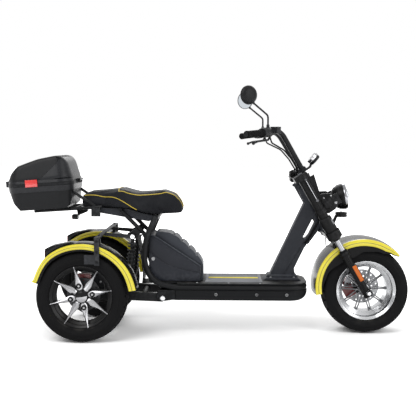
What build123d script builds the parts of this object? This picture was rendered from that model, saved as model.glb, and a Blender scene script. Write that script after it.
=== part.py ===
from build123d import *
import os
from math import asin, atan2, cos, degrees, hypot, pi, radians, sin, tan

os.makedirs("parts", exist_ok=True)

# Driving sizes in millimetres and degrees.  X forward, Y to the left, Z up.
# The origin is on the floor under the middle of the machine.
wheelbase = 1518.0
rear_overhang = 467.0           # rear axle to the tip of the case latch
rear_track = 600.0

front_tyre_r = 239.0
front_tyre_w = 206.0
rear_tyre_r = 240.0
rear_tyre_w = 122.0
bead_r = 152.0                  # twelve inch rim seat
rim_lip_r = 163.0
rim_wall = 5.0
front_rim_w = 176.0
rear_rim_w = 96.0
front_well_r = 129.0            # bottom of the front rim's well
rear_well_r = 140.0
front_hub_r = 34.0
rear_hub_r = 44.0
axle_r = 9.0
spindle_r = 12.0
running_gap = 0.05

rake = 30.0
steer_offset = 23.0             # fork legs ahead of the steering axis
leg_setback = 9.0               # fork legs behind the front axle
leg_y = 145.0
lower_leg_r = 22.0
stanchion_r = 16.0
upper_leg_r = 26.0
sleeve_r = 35.0
sleeve_bottom = 340.0           # along the leg from the axle
sleeve_top = 470.0
lower_leg_top = 258.0
leg_top = 736.0
clamp_low = (345.0, 388.0)
clamp_high = (704.0, 736.0)
head_r = 28.0
head_span = (394.0, 698.0)

front_fender_r = 260.0
front_fender_w = 236.0
front_fender_crown = 8.0
front_fender_rise = 24.0        # guard's centre above the wheel's
front_fender_back = 19.0        # guard's centre behind the wheel's
front_fender_arc = (42.0, 190.0)
flank_depth = 88.0              # black flank at the fork legs, below the crown
rear_fender_r = 279.0
rear_fender_w = 146.0
rear_fender_crown = 6.0
rear_fender_shift = 8.0
rear_fender_arc = (9.0, 162.0)
fender_wall = 3.0
skirt = 33.0                    # coloured edge below the crown

deck_rear = 449.0               # ahead of the rear axle
deck_nose = 320.0               # behind the front axle
nose_run = 112.0                # length over which the tray curves up to its nose
nose_round = 104.0              # corner of the nose seen from above
deck_top = 286.0
deck_plate_t = 8.0
deck_w = 330.0
tray_inset = 15.0               # tray side inside the floor plate's side
tray_w = deck_w - 2 * tray_inset
tray_bottom = 190.0
tray_wall = 3.0
rail_r = 16.0
rail_inset = 19.0               # rail centre inside the floor plate's side
rail_y = deck_w / 2 - rail_inset
mat_t = 4.0
mat_margin = 31.0
mat_w = deck_w - 2 * mat_margin

post_w = 78.0
post_plate_t = 16.0

seat_w = 286.0
seat_nose_w = 196.0
saddle_gap = 0.6
seat_tray_w = 190.0
stay_r = 11.0
stay_y = 108.0

cover_w = 240.0
cover_wall = 3.0
hump_w = 158.0

case_w = 392.0
case_wall = 3.0
case_tilt = 4.0
case_gap = 1.0                  # shut line between tub and lid
rack_r = 9.0
rack_y = 126.0

swingarm_y = 128.0
swingarm_w = 30.0
swingarm_h = 44.0
axle_tube_r = 30.0
motor_r = 86.0
motor_w = 190.0

bar_r = 14.0
grip_r = 17.5

# Reference points.
overall_length = front_tyre_r + wheelbase + rear_overhang
front_x = overall_length / 2 - front_tyre_r
rear_x = front_x - wheelbase
front_axle = Location((front_x, 0, front_tyre_r))
rear_axle = Location((rear_x, 0, rear_tyre_r))
fork = front_axle * Rot(0, -rake, 0)        # local Z up the fork, local X forward
rail_z = deck_top - deck_plate_t - rail_r
head_a = -leg_setback - steer_offset        # steering axis in the fork's frame

nodes = {}
offcut = 0.012                  # share of the largest solid below which a scrap is dropped


def keep(name, shape, place=Location()):
    least = offcut * max(solid.volume for solid in shape.solids())
    solids = [place * solid for solid in shape.solids() if solid.volume > least]
    nodes[name] = solids[0] if len(solids) == 1 else Compound(children=solids)


def rear(points):
    """Side view points measured from the ground under the rear axle."""
    return [(rear_x + x, z) for x, z in points]


def front(points):
    """Side view points measured from the ground under the front axle."""
    return [(front_x + x, z) for x, z in points]


def slab(outline, y_low, y_high):
    """Side view outline carried from y_low to y_high."""
    face = Plane.XZ * make_face(outline)
    return Pos(0, (y_low + y_high) / 2, 0) * extrude(face, amount=(y_high - y_low) / 2, both=True)


def plate(points, y_low, y_high):
    return slab(Polyline(*points, close=True), y_low, y_high)


def box(x_span, y_span, z_span):
    size = [b - a for a, b in (x_span, y_span, z_span)]
    middle = [(a + b) / 2 for a, b in (x_span, y_span, z_span)]
    return Pos(*middle) * Box(*size)


def tube(points, radius, bends=None, bore=0.0):
    """Round tube along straight runs; bends gives the centre line radius at each corner."""
    if len(points) == 2:
        path = Line(*points)
    else:
        path = FilletPolyline(*points, radius=bends)
    start = Plane(origin=path @ 0, z_dir=path % 0)
    section = start * Circle(radius)
    if bore:
        section = section - start * Circle(bore)
    return sweep(section, path=path)


def rod(start, end, radius):
    return tube([start, end], radius)


def cross_rod(x, z, y_low, y_high, radius):
    return rod((x, y_low, z), (x, y_high, z), radius)


def both_sides(shape):
    return shape + mirror(shape, about=Plane.XZ)


def wheel_frame(location, side):
    """Local Z points outboard along Y on the given side."""
    return location * Rot(-90 * side, 0, 0)


def turned(points):
    """Ring turned about local Z from (radius, height) corners."""
    face = Plane.XZ * make_face(Polyline(*points, close=True))
    return revolve(face, axis=Axis.Z)


def tyre(radius, width, rim_width):
    """Tyre section: flat bead, round sidewall, low crown."""
    bead = rim_width / 2 - rim_wall
    half = width / 2
    shoulder = (radius - 13.0, half - 9.0)
    belly = (bead_r + 0.5 * (radius - bead_r), half)
    beads = Polyline((rim_lip_r, -bead), (bead_r, -bead), (bead_r, bead), (rim_lip_r, bead))
    upper = ThreePointArc((rim_lip_r, bead), belly, shoulder)
    crown = ThreePointArc(shoulder, (radius, 0), (shoulder[0], -shoulder[1]))
    lower = ThreePointArc((shoulder[0], -shoulder[1]), (belly[0], -half), (rim_lip_r, -bead))
    face = Plane.XZ * make_face([beads, upper, crown, lower])
    return revolve(face, axis=Axis.Z)


def rim_barrel(width, well_r):
    """Turned rim: two lips, two bead seats and a dropped well."""
    half = width / 2
    bead = half - rim_wall
    seat = 0.62 * bead
    well = 0.42 * bead
    outer = [(rim_lip_r, half), (rim_lip_r, bead), (bead_r, bead), (bead_r, seat), (well_r, well)]
    outer += [(r, -h) for r, h in reversed(outer)]
    inner = [(rim_lip_r - rim_wall, half), (bead_r - rim_wall, bead), (bead_r - rim_wall, seat)]
    inner += [(well_r - rim_wall, well)]
    inner += [(r, -h) for r, h in reversed(inner)]
    return turned(outer + list(reversed(inner)))


def fender(radius, width, crown, arc, depth=skirt):
    """Mudguard band: a low crown between two skirts, swept about the wheel."""
    half = width / 2
    low = radius - depth
    outer = [Line((low, -half), (radius, -half)),
             ThreePointArc((radius, -half), (radius + crown, 0), (radius, half)),
             Line((radius, half), (low, half))]
    inner_half = half - fender_wall
    top = radius - fender_wall
    inner = [Line((low, half), (low, inner_half)),
             Line((low, inner_half), (top, inner_half)),
             ThreePointArc((top, inner_half), (top + crown, 0), (top, -inner_half)),
             Line((top, -inner_half), (low, -inner_half)),
             Line((low, -inner_half), (low, -half))]
    face = Plane.XZ * make_face(outer + inner)
    band = revolve(face, axis=Axis.Z, revolution_arc=arc[1] - arc[0])
    return Rot(90, 0, 0) * Rot(0, 0, arc[0]) * band


disc_r = 96.0
disc_t = 4.0


def brake_disc(radius, bore):
    disc = Cylinder(radius, disc_t) - Cylinder(bore - 1.0, 2 * disc_t)
    for k in range(18):
        turn = Rot(0, 0, 20.0 * k)
        disc -= turn * Pos(0.62 * radius, 0, 0) * Cylinder(4.0, 2 * disc_t)
        disc -= turn * Rot(0, 0, 10) * Pos(0.84 * radius, 0, 0) * Cylinder(4.0, 2 * disc_t)
    return disc


# Front wheel ---------------------------------------------------------------
front_spoke_pairs = 10
spoke_t = 9.0
front_spoke_w = 8.0
spoke_spread = 15.0             # a pair's feet on the hub, each side of its shared end at the rim
spoke_meet = 1.6
front_hub_half = 58.0
front_disc_y = front_hub_half - disc_t


def front_rim():
    barrel = rim_barrel(front_rim_w, front_well_r)
    hub = Cylinder(front_hub_r, 2 * front_hub_half)
    wheel = barrel + hub
    for k in range(front_spoke_pairs):
        for side in (-1, 1):
            foot = (Rot(0, 0, side * spoke_spread) * Pos(front_hub_r - 3, 0, 0)).position
            tip = (Rot(0, 0, side * spoke_meet) * Pos(front_well_r - 2, 0, 0)).position
            run = tip - foot
            lean = degrees(atan2(run.Y, run.X))
            bar = Pos(run.length / 2, 0, 0) * Box(run.length, front_spoke_w, spoke_t)
            wheel += Rot(0, 0, 360.0 * k / front_spoke_pairs) * Pos(foot) * Rot(0, 0, lean) * bar
    wheel += Pos(0, 0, -front_disc_y) * brake_disc(disc_r, front_hub_r)
    return wheel - Cylinder(axle_r + running_gap, 3 * front_hub_half)


keep("front_rim", wheel_frame(front_axle, -1) * front_rim())
keep("front_tyre", wheel_frame(front_axle, -1) * tyre(front_tyre_r, front_tyre_w, front_rim_w))

# Rear wheels ---------------------------------------------------------------
rear_spokes = 8
rear_spoke_first = 13.0
rear_spoke_root = 24.0
rear_spoke_w = 36.0             # at the broadest, just off the hub
rear_spoke_tip = 9.0
rear_spoke_t = 14.0
rear_hub_half = 34.0
spoke_plane = 26.0              # outboard of the wheel's middle
rear_disc_r = 88.0
cap_depth = 16.0


def rear_rim():
    barrel = rim_barrel(rear_rim_w, rear_well_r)
    hub = Pos(0, 0, spoke_plane - rear_hub_half) * Cylinder(rear_hub_r, 2 * rear_hub_half)
    reach = bead_r - rim_wall / 2
    half_blade = [(0, rear_spoke_root / 2), (rear_hub_r - 6, rear_spoke_root / 2),
                  (rear_hub_r + 16, rear_spoke_w / 2), (rear_hub_r + 34, 0.36 * rear_spoke_w),
                  (reach - 26, rear_spoke_tip / 2), (reach, rear_spoke_tip / 2)]
    blade = [(x, -y) for x, y in half_blade] + half_blade[::-1]
    spoke = Pos(0, 0, spoke_plane) * extrude(make_face(Polyline(*blade, close=True)), amount=rear_spoke_t)
    wheel = barrel + hub
    for k in range(rear_spokes):
        wheel += Rot(0, 0, rear_spoke_first + 360.0 * k / rear_spokes) * spoke
    wheel += Pos(0, 0, spoke_plane - 2 * rear_hub_half + disc_t) * brake_disc(rear_disc_r, rear_hub_r)
    bore = Cylinder(spindle_r + running_gap, 2 * rear_hub_half)
    return wheel - Pos(0, 0, spoke_plane - rear_hub_half - cap_depth) * bore


for name, side in (("right", -1), ("left", 1)):
    centre = rear_axle * Pos(0, side * rear_track / 2, 0)
    keep(f"rear_rim_{name}", wheel_frame(centre, side) * rear_rim())
    keep(f"rear_tyre_{name}", wheel_frame(centre, side) * tyre(rear_tyre_r, rear_tyre_w, rear_rim_w))

# Rear axle, swingarm and suspension ----------------------------------------
pivot = (409.0, 201.0)
spindle_end = rear_track / 2 + spoke_plane - 2.0 - cap_depth
flange_y = rear_track / 2 + spoke_plane - 2 * rear_hub_half - 12.0


def drive_axle():
    half = flange_y
    housing = Cylinder(axle_tube_r, 2 * half)
    motor = Cylinder(motor_r, motor_w)
    ribs = Cylinder(motor_r + 6, 8)
    shaft = Cylinder(spindle_r, 2 * spindle_end)
    body = housing + motor + shaft
    for k in (-2, -1, 0, 1, 2):
        body += Pos(0, 0, 34.0 * k) * ribs
    for end in (-1, 1):
        body += Pos(0, 0, end * (half - 5)) * Cylinder(axle_tube_r + 16, 10)
    return rear_axle * Rot(90, 0, 0) * body


keep("drive_axle", drive_axle())


def swingarm():
    low = swingarm_y - swingarm_w / 2
    high = swingarm_y + swingarm_w / 2
    tail = (-38.0, rear_tyre_r)
    half = swingarm_h / 2
    outline = rear([(tail[0], tail[1] - half), (60, 214 - half), (pivot[0], pivot[1] - half),
                    (pivot[0] + 20, pivot[1]), (pivot[0], pivot[1] + half), (60, 214 + half + 8),
                    (40, tail[1] + half + 14), (tail[0], tail[1] + half + 14)])
    arm = plate(outline, low, high)
    arm = both_sides(arm)
    cross = cross_rod(rear_x + 300, 206.0, -swingarm_y, swingarm_y, 15.0)
    hole = cross_rod(rear_x + pivot[0], pivot[1], -deck_w, deck_w, 8.0)
    arm = arm + cross - hole
    return arm - rear_axle * Rot(90, 0, 0) * Cylinder(axle_tube_r + running_gap, deck_w)


keep("swingarm", swingarm())

shock_top = (246.0, 534.0)
shock_foot = (222.0, 262.0)
spring_r = 24.0
shock_y = swingarm_y


def shocks():
    top = (rear_x + shock_top[0], shock_y, shock_top[1])
    foot = (rear_x + shock_foot[0], shock_y, shock_foot[1])
    run = Plane(origin=foot, z_dir=(top[0] - foot[0], 0, top[2] - foot[2]))
    length = hypot(top[0] - foot[0], top[2] - foot[2])
    body = run * Pos(0, 0, length / 2) * Cylinder(9.0, length)
    body += run * Pos(0, 0, 0.2 * length) * Cylinder(17.0, 0.32 * length)
    turns = 9
    coil_low = 0.16 * length
    coil_high = 0.86 * length
    for k in range(turns):
        z = coil_low + (coil_high - coil_low) * (k + 0.5) / turns
        body += run * Pos(0, 0, z) * Cylinder(spring_r, 0.5 * (coil_high - coil_low) / turns)
    for z in (coil_low, coil_high):
        body += run * Pos(0, 0, z) * Cylinder(spring_r + 3, 8)
    eye = cross_rod(top[0], top[2], shock_y - 13, shock_y + 13, 14.0)
    lug = cross_rod(foot[0], foot[2], shock_y - 13, shock_y + 13, 14.0)
    fork_foot = box((foot[0] - 12, foot[0] + 12), (shock_y - 13, shock_y + 13), (232.0, foot[2]))
    return both_sides(body + eye + lug + fork_foot)



# Frame tubes ---------------------------------------------------------------
hairpin = [(370.0, 644.0), (319.0, 520.0), (306.0, 400.0), (352.0, 286.0), (470.0, rail_z)]
hairpin_bends = [190.0, 190.0, 120.0, 120.0]


loop_x = front_x - deck_nose - rail_r - 2


def side_rail():
    """One tube from the seat down round the cover, forward along the deck and across its nose."""
    points = [(rear_x + x, -rail_y, z) for x, z in hairpin]
    points += [(loop_x, -rail_y, rail_z), (loop_x, 0, rail_z)]
    return tube(points, rail_r, hairpin_bends + [nose_round - rail_r])


def frame_tubes():
    tubes = both_sides(side_rail())
    spans = [(rear_x + 372, 634.0), (rear_x + 500, rail_z)]
    for x, z in spans:
        tubes += cross_rod(x, z, -rail_y, rail_y, rail_r - 3)
    return tubes


keep("frame_tubes", frame_tubes())


def seat_stays():
    """Two struts from the seat tray down to the hairpins, with the shock brackets."""
    top = (rear_x + 179, -stay_y, 672.0)
    foot = (rear_x + 312, -stay_y, 540.0)
    strut = rod(top, foot, stay_r)
    bracket = plate(rear([(214, 548), (262, 574), (290, 556), (268, 522), (238, 516)]),
                    -stay_y - 8, -stay_y + 2)
    lug = cross_rod(rear_x + 312, 540.0, -rail_y + 2, -stay_y + stay_r, 12.0)
    pin = cross_rod(rear_x + shock_top[0], shock_top[1], -shock_y - 18, -stay_y, 7.0)
    stays = both_sides(strut + bracket + lug + pin)
    return stays - nodes["frame_tubes"]


# Deck ----------------------------------------------------------------------
tray_rear = rear_x + deck_rear
nose_x = front_x - deck_nose


def bow(x_span, half, z_span, corner):
    """Flat block whose two front corners are rounded seen from above."""
    block = box(x_span, (-half, half), z_span)
    front_edges = block.edges().filter_by(Axis.Z).sort_by(Axis.X)[-2:]
    return fillet(front_edges, corner)


def deck_tray():
    """Pressed tray under the deck, closed below, with a nose rounded both ways."""
    half = tray_w / 2
    top = rail_z - rail_r
    under = (nose_x - nose_run, tray_bottom)
    nose = (nose_x, top)
    side = [Polyline(nose, (tray_rear, top), (tray_rear, tray_bottom + 16),
                     (tray_rear + 26, tray_bottom), under),
            Spline([under, nose], tangents=[(1, 0), (0, 1)])]
    shell = slab(side, -half, half) & bow((tray_rear - 1, nose_x), half, (tray_bottom - 1, top), nose_round)
    inner = [(tray_rear + 6, tray_bottom + 18), (tray_rear + 28, tray_bottom + tray_wall),
             (nose_x - nose_run, tray_bottom + tray_wall), (nose_x - 0.5 * nose_run, tray_bottom + 14),
             (nose_x - 44, top + 1), (tray_rear + 6, top + 1)]
    hollow = plate(inner, -half + tray_wall, half - tray_wall)
    hollow &= bow((tray_rear, nose_x - 44), half - tray_wall, (tray_bottom, top + 2), nose_round - 20)
    ear = plate([(tray_rear - 60, pivot[1] - 20), (tray_rear + 30, tray_bottom + 4), (tray_rear + 30, top),
                 (tray_rear - 66, top), (tray_rear - 78, pivot[1])],
                -swingarm_y - swingarm_w / 2 - 8, -swingarm_y - swingarm_w / 2 - 2)
    pin = cross_rod(rear_x + pivot[0], pivot[1], -swingarm_y - swingarm_w / 2 - 14, 0, 8.0 - running_gap)
    return shell - hollow + both_sides(ear + pin)


def deck_plate():
    """Flat floor plate with a rounded front."""
    inner = rail_y - rail_r - 1.0
    thickness = (deck_top - deck_plate_t, deck_top)
    floor = bow((tray_rear + 38, nose_x - 4), deck_w / 2, thickness, nose_round)
    shelf = box((tray_rear - 118, tray_rear + 39), (-inner, inner), thickness)
    return floor + shelf


mat_span = (rear_x + 637.0, front_x - 569.0)


def deck_mat():
    """Ribbed rubber mat with a raised middle strip."""
    mat = box(mat_span, (-mat_w / 2, mat_w / 2), (deck_top, deck_top + mat_t))
    strip = box((mat_span[0] + 12, mat_span[1] - 12), (-16, 16), (deck_top + mat_t, deck_top + mat_t + 1.5))
    return mat + strip


keep("seat_stays", seat_stays())
keep("shocks", shocks() - nodes["seat_stays"] - nodes["swingarm"])
keep("deck_tray", deck_tray())
keep("deck_plate", deck_plate())
keep("deck_mat", deck_mat())

# Front post and head tube --------------------------------------------------


def in_fork(ahead, y, up):
    """A point given along the fork as a point of the machine."""
    x = front_x + ahead * cos(radians(rake)) - up * sin(radians(rake))
    return (x, y, front_tyre_r + ahead * sin(radians(rake)) + up * cos(radians(rake)))


def front_post():
    """Cast strut from the deck up to the head tube, pierced by one long slot."""
    half = post_w / 2
    outline = front([(-530, deck_top + post_plate_t), (-339, 710), (-374, 788), (-350, 800), (-250, 590),
                     (-264, 556), (-335, 463), (-369, 392), (-389, 350), (-383, deck_top + post_plate_t)])
    post = plate(outline, -half, half)
    slot = plate(front([(-293, 628), (-276, 606), (-314, 530), (-344, 516)]), -half - 1, half + 1)
    slot = fillet(slot.edges().filter_by(Axis.Y), 7.0)
    foot = plate(front([(-566, deck_top), (-541, deck_top + post_plate_t), (-372, deck_top + post_plate_t),
                        (-352, deck_top)]), -half - 22, half + 22)
    bore = fork * Pos(head_a, 0, 0) * Cylinder(head_r, 3 * leg_top)
    return post - slot + foot - bore


def head_tube():
    low, high = head_span
    middle = (low + high) / 2
    shell = Pos(0, 0, middle) * Cylinder(head_r, high - low)
    cups = [Pos(0, 0, z) * Cylinder(head_r + 5, 12) for z in (low + 6, high - 6)]
    bore = Pos(0, 0, middle) * Cylinder(head_r - 6, 2 * high)
    tube_body = shell + cups[0] + cups[1] - bore
    return fork * Pos(head_a, 0, 0) * tube_body


keep("front_post", front_post() + head_tube())

# Cover between seat and deck -----------------------------------------------
cover_line = [(331, deck_top), (613, deck_top), (613, 372), (366, 532), (331, 543)]
hump_line = [(366, 553), (405, 550), (461, 542), (489, 517), (528, 489), (567, 450), (607, 406),
             (626, 371), (627, deck_top)]


def battery_cover():
    """Moulded cover with a slanted ridge, open below."""
    half = cover_w / 2
    body = plate(rear(cover_line), -half, half)
    body = fillet(body.edges().filter_by(Axis.Y).sort_by(Axis.Z)[-2:], 12.0)
    inner_line = [(331 + cover_wall, deck_top - 1), (613 - cover_wall, deck_top - 1), (613 - cover_wall, 370),
                  (365, 532 - 1.2 * cover_wall), (331 + cover_wall, 543 - 1.5 * cover_wall)]
    inner = plate(rear(inner_line), -half + cover_wall, half - cover_wall)
    lock = cross_rod(rear_x + 355, 411.0, -half - 5, -half + cover_wall, 9.0)
    return body - inner + lock


def cover_hump():
    """Ribbed hump over the cover's ridge."""
    half = hump_w / 2
    roof = [(x, z) for x, z in hump_line]
    body = plate(rear(roof + [(614, deck_top), (614, 373), (366, 534)]), -half, half)
    for x, z in ((466, 540), (508, 504), (548, 470), (588, 428)):
        body -= cross_rod(rear_x + x, z + 9, -half - 1, half + 1, 9.0)
    return body


def battery():
    return box((rear_x + 336, rear_x + 560), (-88, 88), (deck_top + 0.5, deck_top + 108))


keep("battery_cover", battery_cover())
keep("cover_hump", cover_hump() - nodes["battery_cover"])
keep("battery", battery())

# Seat ----------------------------------------------------------------------
seat_top = [(-38, 700), (-42, 758), (10, 769), (68, 772), (147, 781), (184, 786), (216, 776), (276, 763),
            (346, 769), (429, 777), (476, 762), (508, 718), (522, 677), (508, 653)]
seat_bottom = [(390, 648), (351, 646), (294, 659), (223, 681), (80, 686), (-31, 689)]


def seat_plan(z_low, z_high):
    """Plan of the seat: wide behind, narrowing to the nose."""
    wide = seat_w / 2
    nose = seat_nose_w / 2
    tail = rack_y - rack_r - 5.0
    points = [(-45, -tail + 20), (-24, -tail), (92, -tail), (160, -wide), (220, -wide), (300, -wide + 8),
              (380, -nose - 8), (470, -nose), (512, -nose + 26), (524, -nose + 60)]
    points += [(x, -y) for x, y in reversed(points)]
    plan = make_face(Polyline(*[(rear_x + x, y) for x, y in points], close=True))
    return Pos(0, 0, (z_low + z_high) / 2) * extrude(plan, amount=(z_high - z_low) / 2, both=True)


def seat_cushion():
    side = plate(rear(seat_top + seat_bottom), -seat_w / 2, seat_w / 2)
    return side & seat_plan(min(z for x, z in seat_bottom) - 10, max(z for x, z in seat_top) + 10)


def seat_tray():
    """Moulded tray under the seat that the struts and the rack bolt to."""
    half = seat_tray_w / 2
    under = [(40, 660), (70, 656), (211, 632), (328, 612), (386, 634)]
    top = [(x, z - saddle_gap) for x, z in seat_bottom[:-1]]
    tray = plate(rear([(40, seat_bottom[-2][1] + 1)] + under + top), -half, half)
    wings = both_sides(cross_rod(rear_x + 179, 664.0, -stay_y, -half, 8.0))
    return tray + wings - nodes["seat_stays"] - nodes["frame_tubes"] - nodes["seat_cushion"]


keep("seat_cushion", seat_cushion())
keep("seat_tray", seat_tray())

# Rack and top case ---------------------------------------------------------
case_back = 71.0                            # rear axle to the front of the shut line
case_front = (rear_x - case_back, 832.0)
latch_reach = 17.0
latch_top = 16.0
latch_line = (rear_overhang - case_back - latch_top * sin(radians(case_tilt))) / cos(radians(case_tilt))
case_length = latch_line - latch_reach
case_depth = 141.0
case = Location((case_front[0], 0, case_front[1])) * Rot(0, -case_tilt, 0)


def rack():
    """Two rails under the case, cross bars and the clamps to the seat tray."""
    level = -case_depth - rack_r
    rail = rod((-226, -rack_y, level), (140, -rack_y, level), rack_r)
    bars = both_sides(rail)
    for x in (-212, -110, -8):
        bars += rod((x, -rack_y, level), (x, rack_y, level), rack_r - 1)
    bars = case * bars
    clamp = box((rear_x + 22, rear_x + 70), (-rack_y - 10, -rack_y + 10), (640, 688))
    tie = cross_rod(rear_x + 48, 664.0, -rack_y, rack_y, 8.0)
    strut = rod((rear_x + 44, -rack_y, 694.0), (rear_x - 78, -rack_y, 775.0), rack_r - 1)
    return bars + both_sides(clamp + strut) + tie


tub_line = [(0, 0), (-8, -60), (-24, -124), (-46, -case_depth), (-296, -case_depth), (-338, -100),
            (-366, -40), (-case_length, 0)]
lid_line = [(0, 0), (-2, 26), (-12, 92), (-48, 138), (-82, 148), (-180, 134), (-300, 98), (-350, 54),
            (-case_length, 0)]


def case_plan(z_low, z_high, inset, taper):
    """Plan of the case: a rounded block, a little narrower towards the open end."""
    half = case_w / 2 - inset
    span = case_length - 2 * inset
    plan = Pos(-case_length / 2, 0, z_low) * RectangleRounded(span, 2 * half, 84.0 - inset)
    return extrude(plan, amount=z_high - z_low, taper=taper)


def inset_line(points, wall):
    """Side outline drawn in by a wall all round but the shut line."""
    middle = -case_length / 2
    drawn = []
    for x, z in points:
        move = wall if x < middle else -wall
        rise = 0 if z == 0 else (-wall if z > 0 else wall)
        drawn.append((x + move, z + rise))
    return drawn


def case_tub():
    half = case_w / 2
    outer = plate(tub_line, -half, half) & Rot(180, 0, 0) * case_plan(0, 160, 0, 6)
    cut_line = inset_line(tub_line, case_wall) + [(-case_length + case_wall, 5), (-case_wall, 5)]
    cut = plate(cut_line, -half, half) & (Rot(180, 0, 0) * case_plan(0, 160, case_wall, 6)
                                          + case_plan(0, 8, case_wall, 0))
    flange = case_plan(-14, 0, -case_wall, 0)
    return outer + flange - cut


def case_lid():
    half = case_w / 2
    outer = plate(lid_line, -half, half) & case_plan(0, 160, 0, 14)
    cut_line = inset_line(lid_line, case_wall) + [(-case_length + case_wall, -5), (-case_wall, -5)]
    cut = plate(cut_line, -half, half) & (case_plan(0, 160, case_wall, 14)
                                          + case_plan(-8, 0, case_wall, 0))
    return outer - cut


hinge_at = (14.0, 3.0)                      # pin centre in the case's frame
hinge_half = 30.0
pin_r = 3.0
latch_half = 26.0


def hinge_lugs():
    """Tub side of the hinge: two lugs and the pin."""
    x, z = hinge_at
    lug = rod((x, -hinge_half - 9, z), (x, -hinge_half - 1, z), 7.0)
    lug += box((-2, x + 3), (-hinge_half - 9, -hinge_half - 1), (-14, 0))
    pin = rod((x, -hinge_half - 9, z), (x, hinge_half + 9, z), pin_r)
    return both_sides(lug) + pin


def hinge_leaf():
    """Lid side of the hinge: one knuckle round the pin."""
    x, z = hinge_at
    knuckle = rod((x, -hinge_half, z), (x, hinge_half, z), 7.0)
    leaf = box((-12, x), (-hinge_half, hinge_half), (z + 1, z + 7))
    return knuckle + leaf - rod((x, -hinge_half - 1, z), (x, hinge_half + 1, z), pin_r + running_gap)


def latch():
    """Hook on the lid that hangs outside the tub's flange."""
    back = -latch_line
    hook = box((back, -case_length - case_wall - 1), (-latch_half, latch_half), (-18, 6))
    return hook + box((back, -case_length + 5), (-latch_half, latch_half), (case_gap, latch_top))


keep("case_tub", case_tub() + hinge_lugs(), case)
keep("rack", rack() - nodes["seat_tray"] - nodes["seat_stays"] - nodes["case_tub"])
keep("case_lid", Pos(0, 0, case_gap) * case_lid() + hinge_leaf() + latch(), case)

# Rear mudguards and lamps --------------------------------------------------
hoop_x = 88.0                   # ahead of the rear axle
hoop_z = 550.0
hoop_t = 6.0
hoop_w = 26.0
hoop_y = rear_track / 2 + rear_fender_w / 2 + 10.0


def rear_guard(side):
    centre = rear_axle * Pos(rear_fender_shift, side * rear_track / 2, 0)
    band = fender(rear_fender_r, rear_fender_w, rear_fender_crown, rear_fender_arc)
    return centre * band


def fender_hoop():
    """Flat bar over both guards, its outer legs, and the arms back from the shock mounts."""
    x_low = rear_x + hoop_x - hoop_w / 2
    x_high = x_low + hoop_w
    bar = box((x_low, x_high), (-hoop_y, hoop_y), (hoop_z, hoop_z + hoop_t))
    leg = box((x_low, x_high), (-hoop_y, -hoop_y + hoop_t), (412.0, hoop_z + hoop_t))
    tab = box((rear_x + 24, x_high), (-hoop_y, -hoop_y + hoop_t), (418.0, 466.0))
    guard_top = rear_tyre_r + ((rear_fender_r + rear_fender_crown) ** 2
                               - (hoop_x - rear_fender_shift) ** 2) ** 0.5 - 1.5
    post_y = rear_track / 2
    foot = box((x_low + 4, x_high - 4), (-post_y - 12, -post_y + 12), (guard_top, hoop_z))
    arm = plate([(x_low, hoop_z + hoop_t), (x_low, hoop_z - 10), (rear_x + shock_top[0], shock_top[1] - 12),
                 (rear_x + shock_top[0] + 10, shock_top[1]), (rear_x + shock_top[0], shock_top[1] + 12)],
                -shock_y - 24, -shock_y - 17)
    stay = box((x_low, x_high), (-hoop_y + 1, -rear_track / 2 - rear_fender_w / 2 - 0.0), (470.0, 492.0))
    pin = cross_rod(rear_x + shock_top[0], shock_top[1], -shock_y - 24, -shock_y - 13, 7.0)
    hoop = both_sides(bar + leg + tab + foot + arm + stay + pin)
    return hoop


keep("rear_fender_right", rear_guard(-1))
keep("rear_fender_left", rear_guard(1))
keep("fender_hoop", fender_hoop() - nodes["rear_fender_right"] - nodes["rear_fender_left"]
     - nodes["seat_stays"] - nodes["shocks"])


def tail_lamps():
    """A lamp housing on the back of each rear guard."""
    lamp = plate(rear([(-184, 440), (-184, 490), (-150, 506), (-60, 524), (-30, 521), (-60, 470)]),
                 -rear_track / 2 - 45, -rear_track / 2 + 45)
    return both_sides(lamp) - nodes["rear_fender_right"] - nodes["rear_fender_left"] - guard_space


guard_space = both_sides(rear_axle * Pos(rear_fender_shift, -rear_track / 2, 0) * Rot(90, 0, 0)
                         * Cylinder(rear_fender_r - fender_wall + rear_fender_crown - 0.5, rear_fender_w - 8))


def splash_guard():
    """Curved guard between the battery cover and the rear wheels."""
    outer = [(262, 520), (272, 470), (288, 400), (296, 330), (292, 272)]
    inner = [(x + 4, z) for x, z in reversed(outer)]
    guard = plate(rear(outer + inner), -92, 92)
    lug = cross_rod(rear_x + 268, 512.0, -stay_y - 6, stay_y + 6, 6.0)
    foot = box((rear_x + 290, rear_x + 340), (-60, 60), (266.0, 272.0))
    return guard + lug + foot


keep("splash_guard", splash_guard() - nodes["seat_stays"])


def plate_lamp():
    """Small lamp and its wedge bracket under the rack."""
    lamp = box((rear_x - 100, rear_x - 70), (-32, 32), (614, 640))
    wedge = plate(rear([(-76, 664), (-18, 668), (-18, 656), (-70, 634)]), -20, 20)
    return lamp + wedge - nodes["rack"]




def case_reflectors():
    """Red reflectors on the flanks of the lid's lower edge."""
    pad = Pos(-case_length + 140, -case_w / 2 - case_wall, -12) * Box(64, 8, 22)
    return both_sides(pad)


keep("rear_lamps", tail_lamps() + plate_lamp() + case * case_reflectors() - nodes["case_tub"])


def rear_calipers():
    pads = Pos(0, 0, 0) * box((rear_x - 34, rear_x + 34), (-flange_y - 4, -flange_y + 34),
                              (rear_tyre_r + 62, rear_tyre_r + 106))
    bracket = box((rear_x - 12, rear_x + 12), (-flange_y - 4, -flange_y + 6),
                  (rear_tyre_r + axle_tube_r + 8, rear_tyre_r + 70))
    slot = box((rear_x - 50, rear_x + 50), (-flange_y - 20, -flange_y - 12), (0, 600))
    return both_sides(pads + bracket - slot)


keep("rear_calipers", rear_calipers() - nodes["drive_axle"])

# Fork ----------------------------------------------------------------------
leg_a = -leg_setback


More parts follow.
